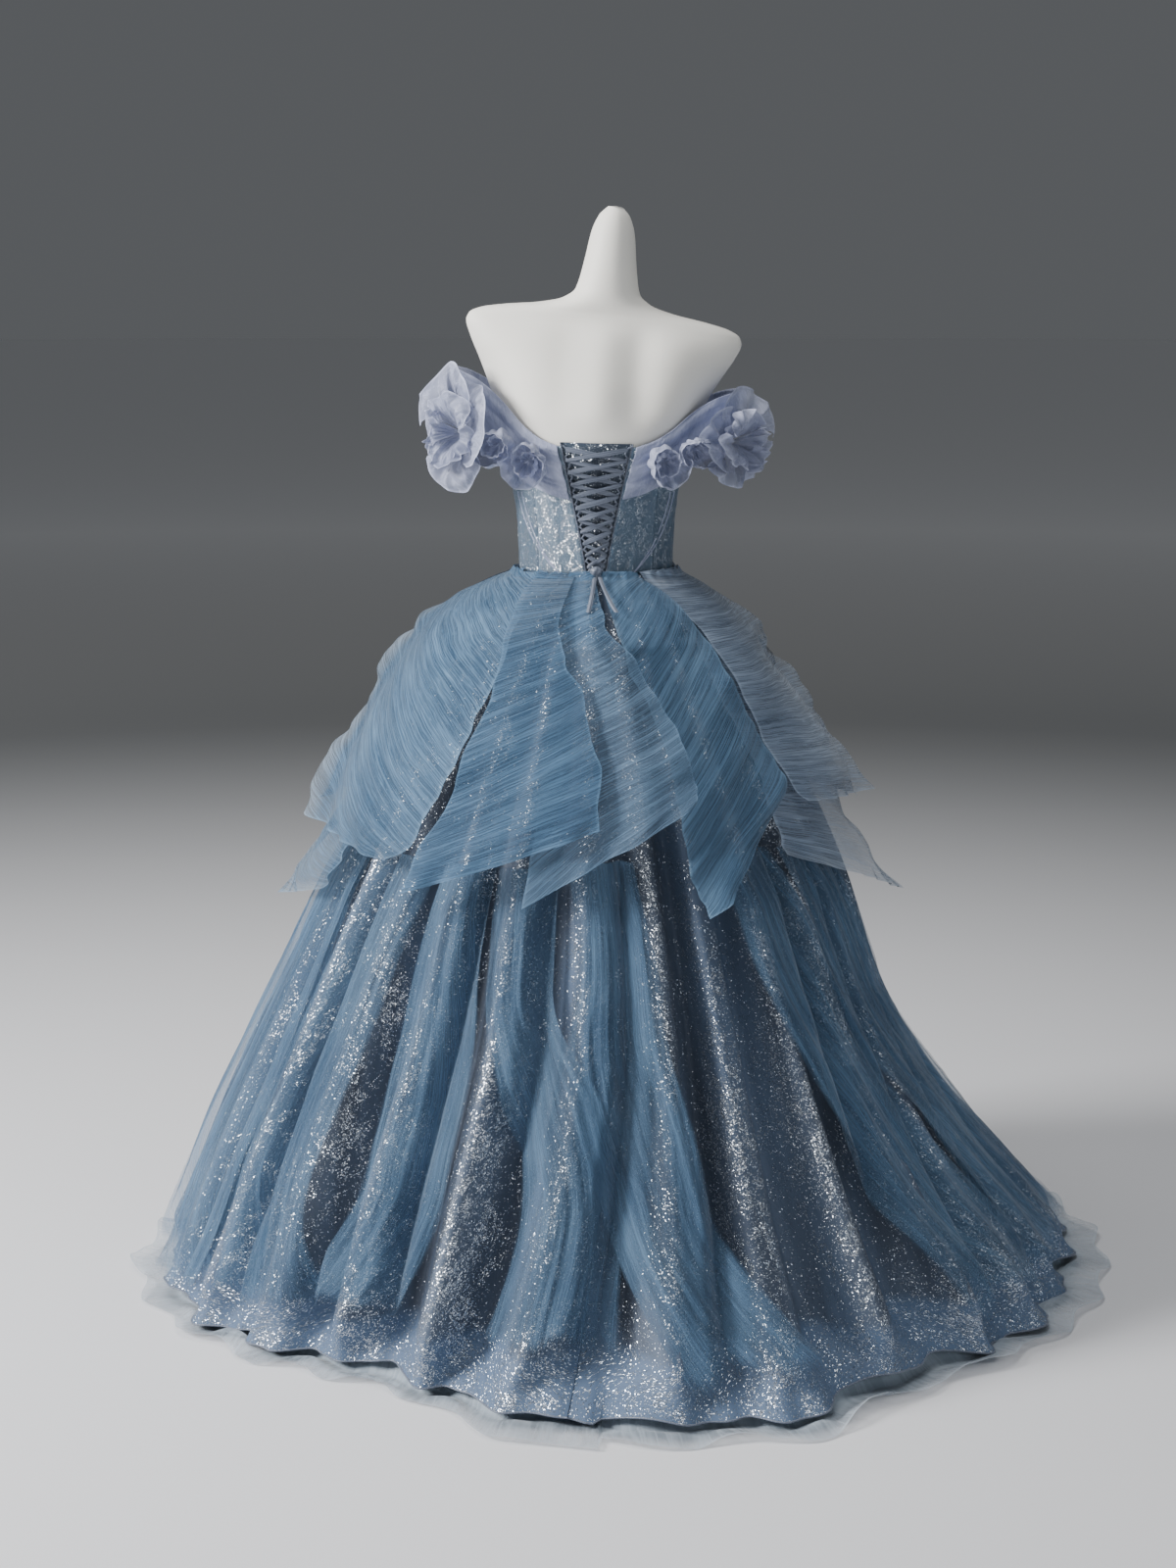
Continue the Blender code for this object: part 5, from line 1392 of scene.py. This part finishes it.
def build_rose(name, node, values, side, seed, looks):
    """A strip of organza rolled round a dark opening, with crumpled rims."""
    along, down, out, radius, facing = values
    below, part = grid(30, 240)
    level = 1.0 - below
    turn = TURN * ROSE_TURNS * part + 0.5 * waves(part * 5.0, level, seed + 6)
    width = read(ROSE_LEVELS, level, 1) * (1.0 - 0.16 * ease(level, 0.70, 1.0) * (1.0 - part))
    crumple = 0.0036 * waves(part * 15.0, level * 2.2, seed) * ease(level, 0.1, 0.7)
    crumple = crumple + 0.0016 * waves(part * 44.0, level * 4.0, seed + 1)
    pleat = 0.0022 * np.sin(turn * 9.0 + 2.5 * waves(part * 14.0, level * 2.0, seed + 2))
    pleat = pleat * (1.0 - 0.6 * ease(level, 0.30, 0.95))
    curl = 0.0060 * ease(level, 0.84, 1.0) * (0.45 + 0.55 * waves(part * 9.0, 0.0, seed + 3))
    oval = 1.0 + 0.12 * np.cos(2.0 * turn + seed)
    reach = (ROSE_CORE + (1.0 - ROSE_CORE) * part) * radius * width * oval + crumple + pleat + curl
    rise = (ROSE_SUNK + (1.0 - ROSE_SUNK) * part ** 0.7) * level * radius * ROSE_TALL
    rise = rise + 0.0060 * waves(part * 12.0, 0.0, seed + 4) * level ** 2
    make_flower_part(name, [node], band_points(along, down, out), facing, turn, reach, rise,
                     ease(level, 0.93, 1.0), side, seed * 0.31, looks)


def build_petal(name, nodes, values, side, seed, looks, cup=1.0):
    """A broad crumpled petal: a fan on the flower's cup, folded from its root to its rim."""
    first, last, length, out = values
    root = band_points(FLOWER_ALONG, FLOWER_DOWN, 0.0) + np.array(FLOWER_SHIFT)
    part, over = grid(40, 84)
    over = 2.0 * over - 1.0
    widening = PETAL_NARROW + (1.0 - PETAL_NARROW) * part
    turn = np.radians(first + (last - first) * (0.5 + 0.5 * over * widening))
    turn = turn + 0.16 * waves(part * 2.0, over * 2.0, seed + 5) * part
    ragged = 0.08 * waves(over * 2.0, 0.0, seed + 9) + 0.012 * waves(over * 7.0, 0.0, seed + 8)
    tip = length * (1.0 - PETAL_ROUND * over * over + ragged)
    reach = FLOWER_FIRST_REACH + (tip - FLOWER_FIRST_REACH) * part
    rise = FLOWER_CUP * cup * np.sin(np.minimum(reach / length, 1.0) * PETAL_CURVE)
    ridge = 1.0 - 2.0 * np.abs(waves(over * 2.7 + 0.8 * part, part * 0.9, seed))
    folds = 0.0095 * (ridge - 0.4) * ease(part, 0.05, 0.6)
    sharp = 1.0 - 2.0 * np.abs(waves(over * 6.0 + 1.5 * part, part * 1.4, seed + 1))
    folds = folds + 0.0022 * sharp * ease(part, 0.0, 0.4) * (1.0 - 0.8 * part)
    folds = folds + 0.0080 * waves(over * 1.6, part * 2.0, seed + 2) * part
    rim_curl = 0.0100 * ease(part, 0.84, 1.0) * waves(over * 2.0, 0.0, seed + 3)
    make_flower_part(name, nodes, root, FLOWER_FACING, turn + 0.5 * math.pi, reach,
                     rise + folds + rim_curl + out, ease(part, 0.955, 1.0), side, seed * 0.17,
                     looks)


def build_sleeves(looks):
    """Both bands with their rolled roses and their open flowers."""
    for word, side, seed in (("left", 1.0, 500), ("right", -1.0, 700)):
        build_strap(word, side, looks)
        for number, (key, values) in enumerate(ROSES.items()):
            node = "sleeve_" + word + "_" + key
            build_rose(node + "_organza", node, values, side, seed + 10 * number, looks)
        for number, (key, (first, last, length, out)) in enumerate(PETALS.items()):
            node = "sleeve_" + word + "_" + key
            length = length * PETAL_SIZE
            own_seed = seed + 100 + 10 * number
            outer = (first, last, min(length, PETAL_LONGEST), out)
            build_petal(node + "_organza", [node], outer, side, own_seed, looks)
            inner = (first + 34.0, last + 20.0, length * 0.66, out + 0.005)
            build_petal(node + "_inner", [], inner, side, own_seed + 50, looks, 1.25)


def make_looks():
    """Each look's material, and the record's slot that it belongs to."""
    panel = (PANEL_DEEP, PANEL_COLOUR, PANEL_COLOUR, 0.35, 2.2)
    # A lighter copy of the panel lace: painted light for the lit left back panel
    panel_painted_lit = (PANEL_COLOUR, PANEL_PAINTED_LIT, PANEL_PAINTED_LIT, 0.60, 2.2)
    modesty = (NET_COLOUR, PANEL_DEEP, PANEL_DEEP, 0.20, 2.2)
    streamer = (STREAMER_DEEP, STREAMER_LIGHT, 480.0, 0.48, 0.12, True, 0.45)
    pale = (PALE_DEEP, PALE_LIGHT, 70.0, 0.80, 0.20, False, 0.5)
    lace = (NET_COLOUR, NET_LIGHT, VEIL_COLOUR, 0.0)
    tulle = (TULLE_DEEP, TULLE_LIGHT, 430.0, 0.56, 0.20)
    # Darker and lighter copies of the tulle: painted shade and painted light for some drapes
    shaded = (PAINTED_SHADE_DEEP, PAINTED_SHADE_LIGHT, 430.0, 0.54, 0.20)
    painted_lit = (PAINTED_LIT_DEEP, PAINTED_LIT_LIGHT, 430.0, 0.50, 0.20)
    form = (FORM_COLOUR, 0.55, 0.0, 260.0, 0.0003)
    steel = (STEEL_COLOUR, 0.35, 1.0, 400.0, 0.0001)
    organza = (ORGANZA_DEEP, ORGANZA_LIGHT, 0.70, 0.40)
    satin = (ORGANZA_DEEP, ORGANZA_LIGHT, 1.0, 0.25)
    ribbon = (RIBBON_DEEP, RIBBON_LIGHT)
    table = (
        ("form", "form_shell", solid_material, "form_shell", form),
        ("steel", "stand_metal", solid_material, "stand_metal", steel),
        ("skirt", "glitter_lace", glitter_material, "glitter_lace", lace),
        ("panel", "bodice_lace", glitter_material, "bodice_lace", panel),
        ("panel_painted_lit", "bodice_painted_lit_lace", glitter_material, "bodice_lace", panel_painted_lit),
        ("modesty", "modesty_lace", glitter_material, "glitter_lace", modesty),
        ("organza", "organza", organza_material, "organza", organza),
        ("satin", "satin_band", organza_material, "organza", satin),
        ("ribbon", "ribbon", satin_material, "ribbon", ribbon),
        ("tulle", "crinkle_tulle", tulle_material, "crinkle_tulle", tulle),
        ("shaded", "painted_shade_tulle", tulle_material, "crinkle_tulle", shaded),
        ("painted_lit", "painted_lit_tulle", tulle_material, "crinkle_tulle", painted_lit),
        ("streamer", "streamer_tulle", tulle_material, "crinkle_tulle", streamer),
        ("pale_tulle", "pale_tulle", tulle_material, "pale_tulle", pale),
    )
    return {key: (make(name, *values), slot) for key, name, make, slot, values in table}


def add_light(name, place, target, size, power, colour=(1.0, 1.0, 1.0)):
    """A soft square light."""
    data = bpy.data.lights.new(name, "AREA")
    data.size = size
    data.energy = power
    data.color = colour
    light = bpy.data.objects.new(name, data)
    light.location = place
    light.rotation_euler = (Vector(target) - Vector(place)).to_track_quat("-Z", "Y").to_euler()
    bpy.context.collection.objects.link(light)


def build_stage():
    """A wide round floor that reaches to where the view ends on every side."""
    turns = np.radians(np.arange(FLOOR_SIDES) * 360.0 / FLOOR_SIDES)
    places = [(0.0, 0.0, 0.0)]
    faces = []
    for ring, reach in enumerate(FLOOR_RINGS):
        outer = len(places)
        inner = outer - FLOOR_SIDES
        places += [(reach * math.cos(turn), reach * math.sin(turn), 0.0) for turn in turns]
        for side in range(FLOOR_SIDES):
            after = (side + 1) % FLOOR_SIDES
            start = (0,) if ring == 0 else (inner + after, inner + side)
            faces.append((*start, outer + side, outer + after))
    mesh = bpy.data.meshes.new("studio_floor")
    mesh.from_pydata(places, [], faces)
    mesh.materials.append(floor_material())
    floor = bpy.data.objects.new("studio_floor", mesh)
    bpy.context.collection.objects.link(floor)


def build_view():
    """Camera at the photo's height and distance, soft light from the left of the view."""
    data = bpy.data.cameras.new("camera")
    data.lens = CAMERA_LENS
    camera = bpy.data.objects.new("camera", data)
    back = Vector((0.0, math.cos(CAMERA_UP), math.sin(CAMERA_UP)))
    camera.location = CAMERA_TARGET + back * CAMERA_FAR
    camera.rotation_euler = (math.pi / 2.0 - CAMERA_UP, 0.0, math.pi)
    bpy.context.collection.objects.link(camera)
    bpy.context.scene.camera = camera
    add_light("key", (4.5, 1.6, 2.9), (0.0, 0.0, 0.9), 1.5, 455.0)
    add_light("top", (0.8, 0.4, 4.6), (0.0, 0.0, 0.0), 3.6, 125.0)
    add_light("fill", (-3.2, 3.2, 0.9), (-0.3, 0.2, 0.4), 2.4, 32.0, (0.86, 0.93, 1.0))
    world = bpy.data.worlds.new("studio")
    world.use_nodes = True
    background = world.node_tree.nodes["Background"]
    background.inputs[0].default_value = (0.60, 0.63, 0.67, 1.0)
    background.inputs[1].default_value = 0.17
    bpy.context.scene.world = world


def main():
    """Build all looks, the stage and every piece."""
    looks = make_looks()
    for name in ("stand_base", "stand_pole"):
        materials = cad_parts[name].data.materials
        materials.clear()
        materials.append(looks["steel"][0])
    build_view()
    build_stage()
    build_form(looks)
    build_bodice(looks)
    build_trims(looks)
    build_lacing(looks)
    build_skirt(looks)
    build_under_hem(looks)
    for number, (name, (table, layers)) in enumerate(DRAPES.items()):
        build_drape(name, table, layers, 900 + 20 * number, looks)
    for number, (name, table) in enumerate(STREAMERS.items()):
        build_streamer(name, table, 1200 + 20 * number, looks)
    build_sleeves(looks)


main()
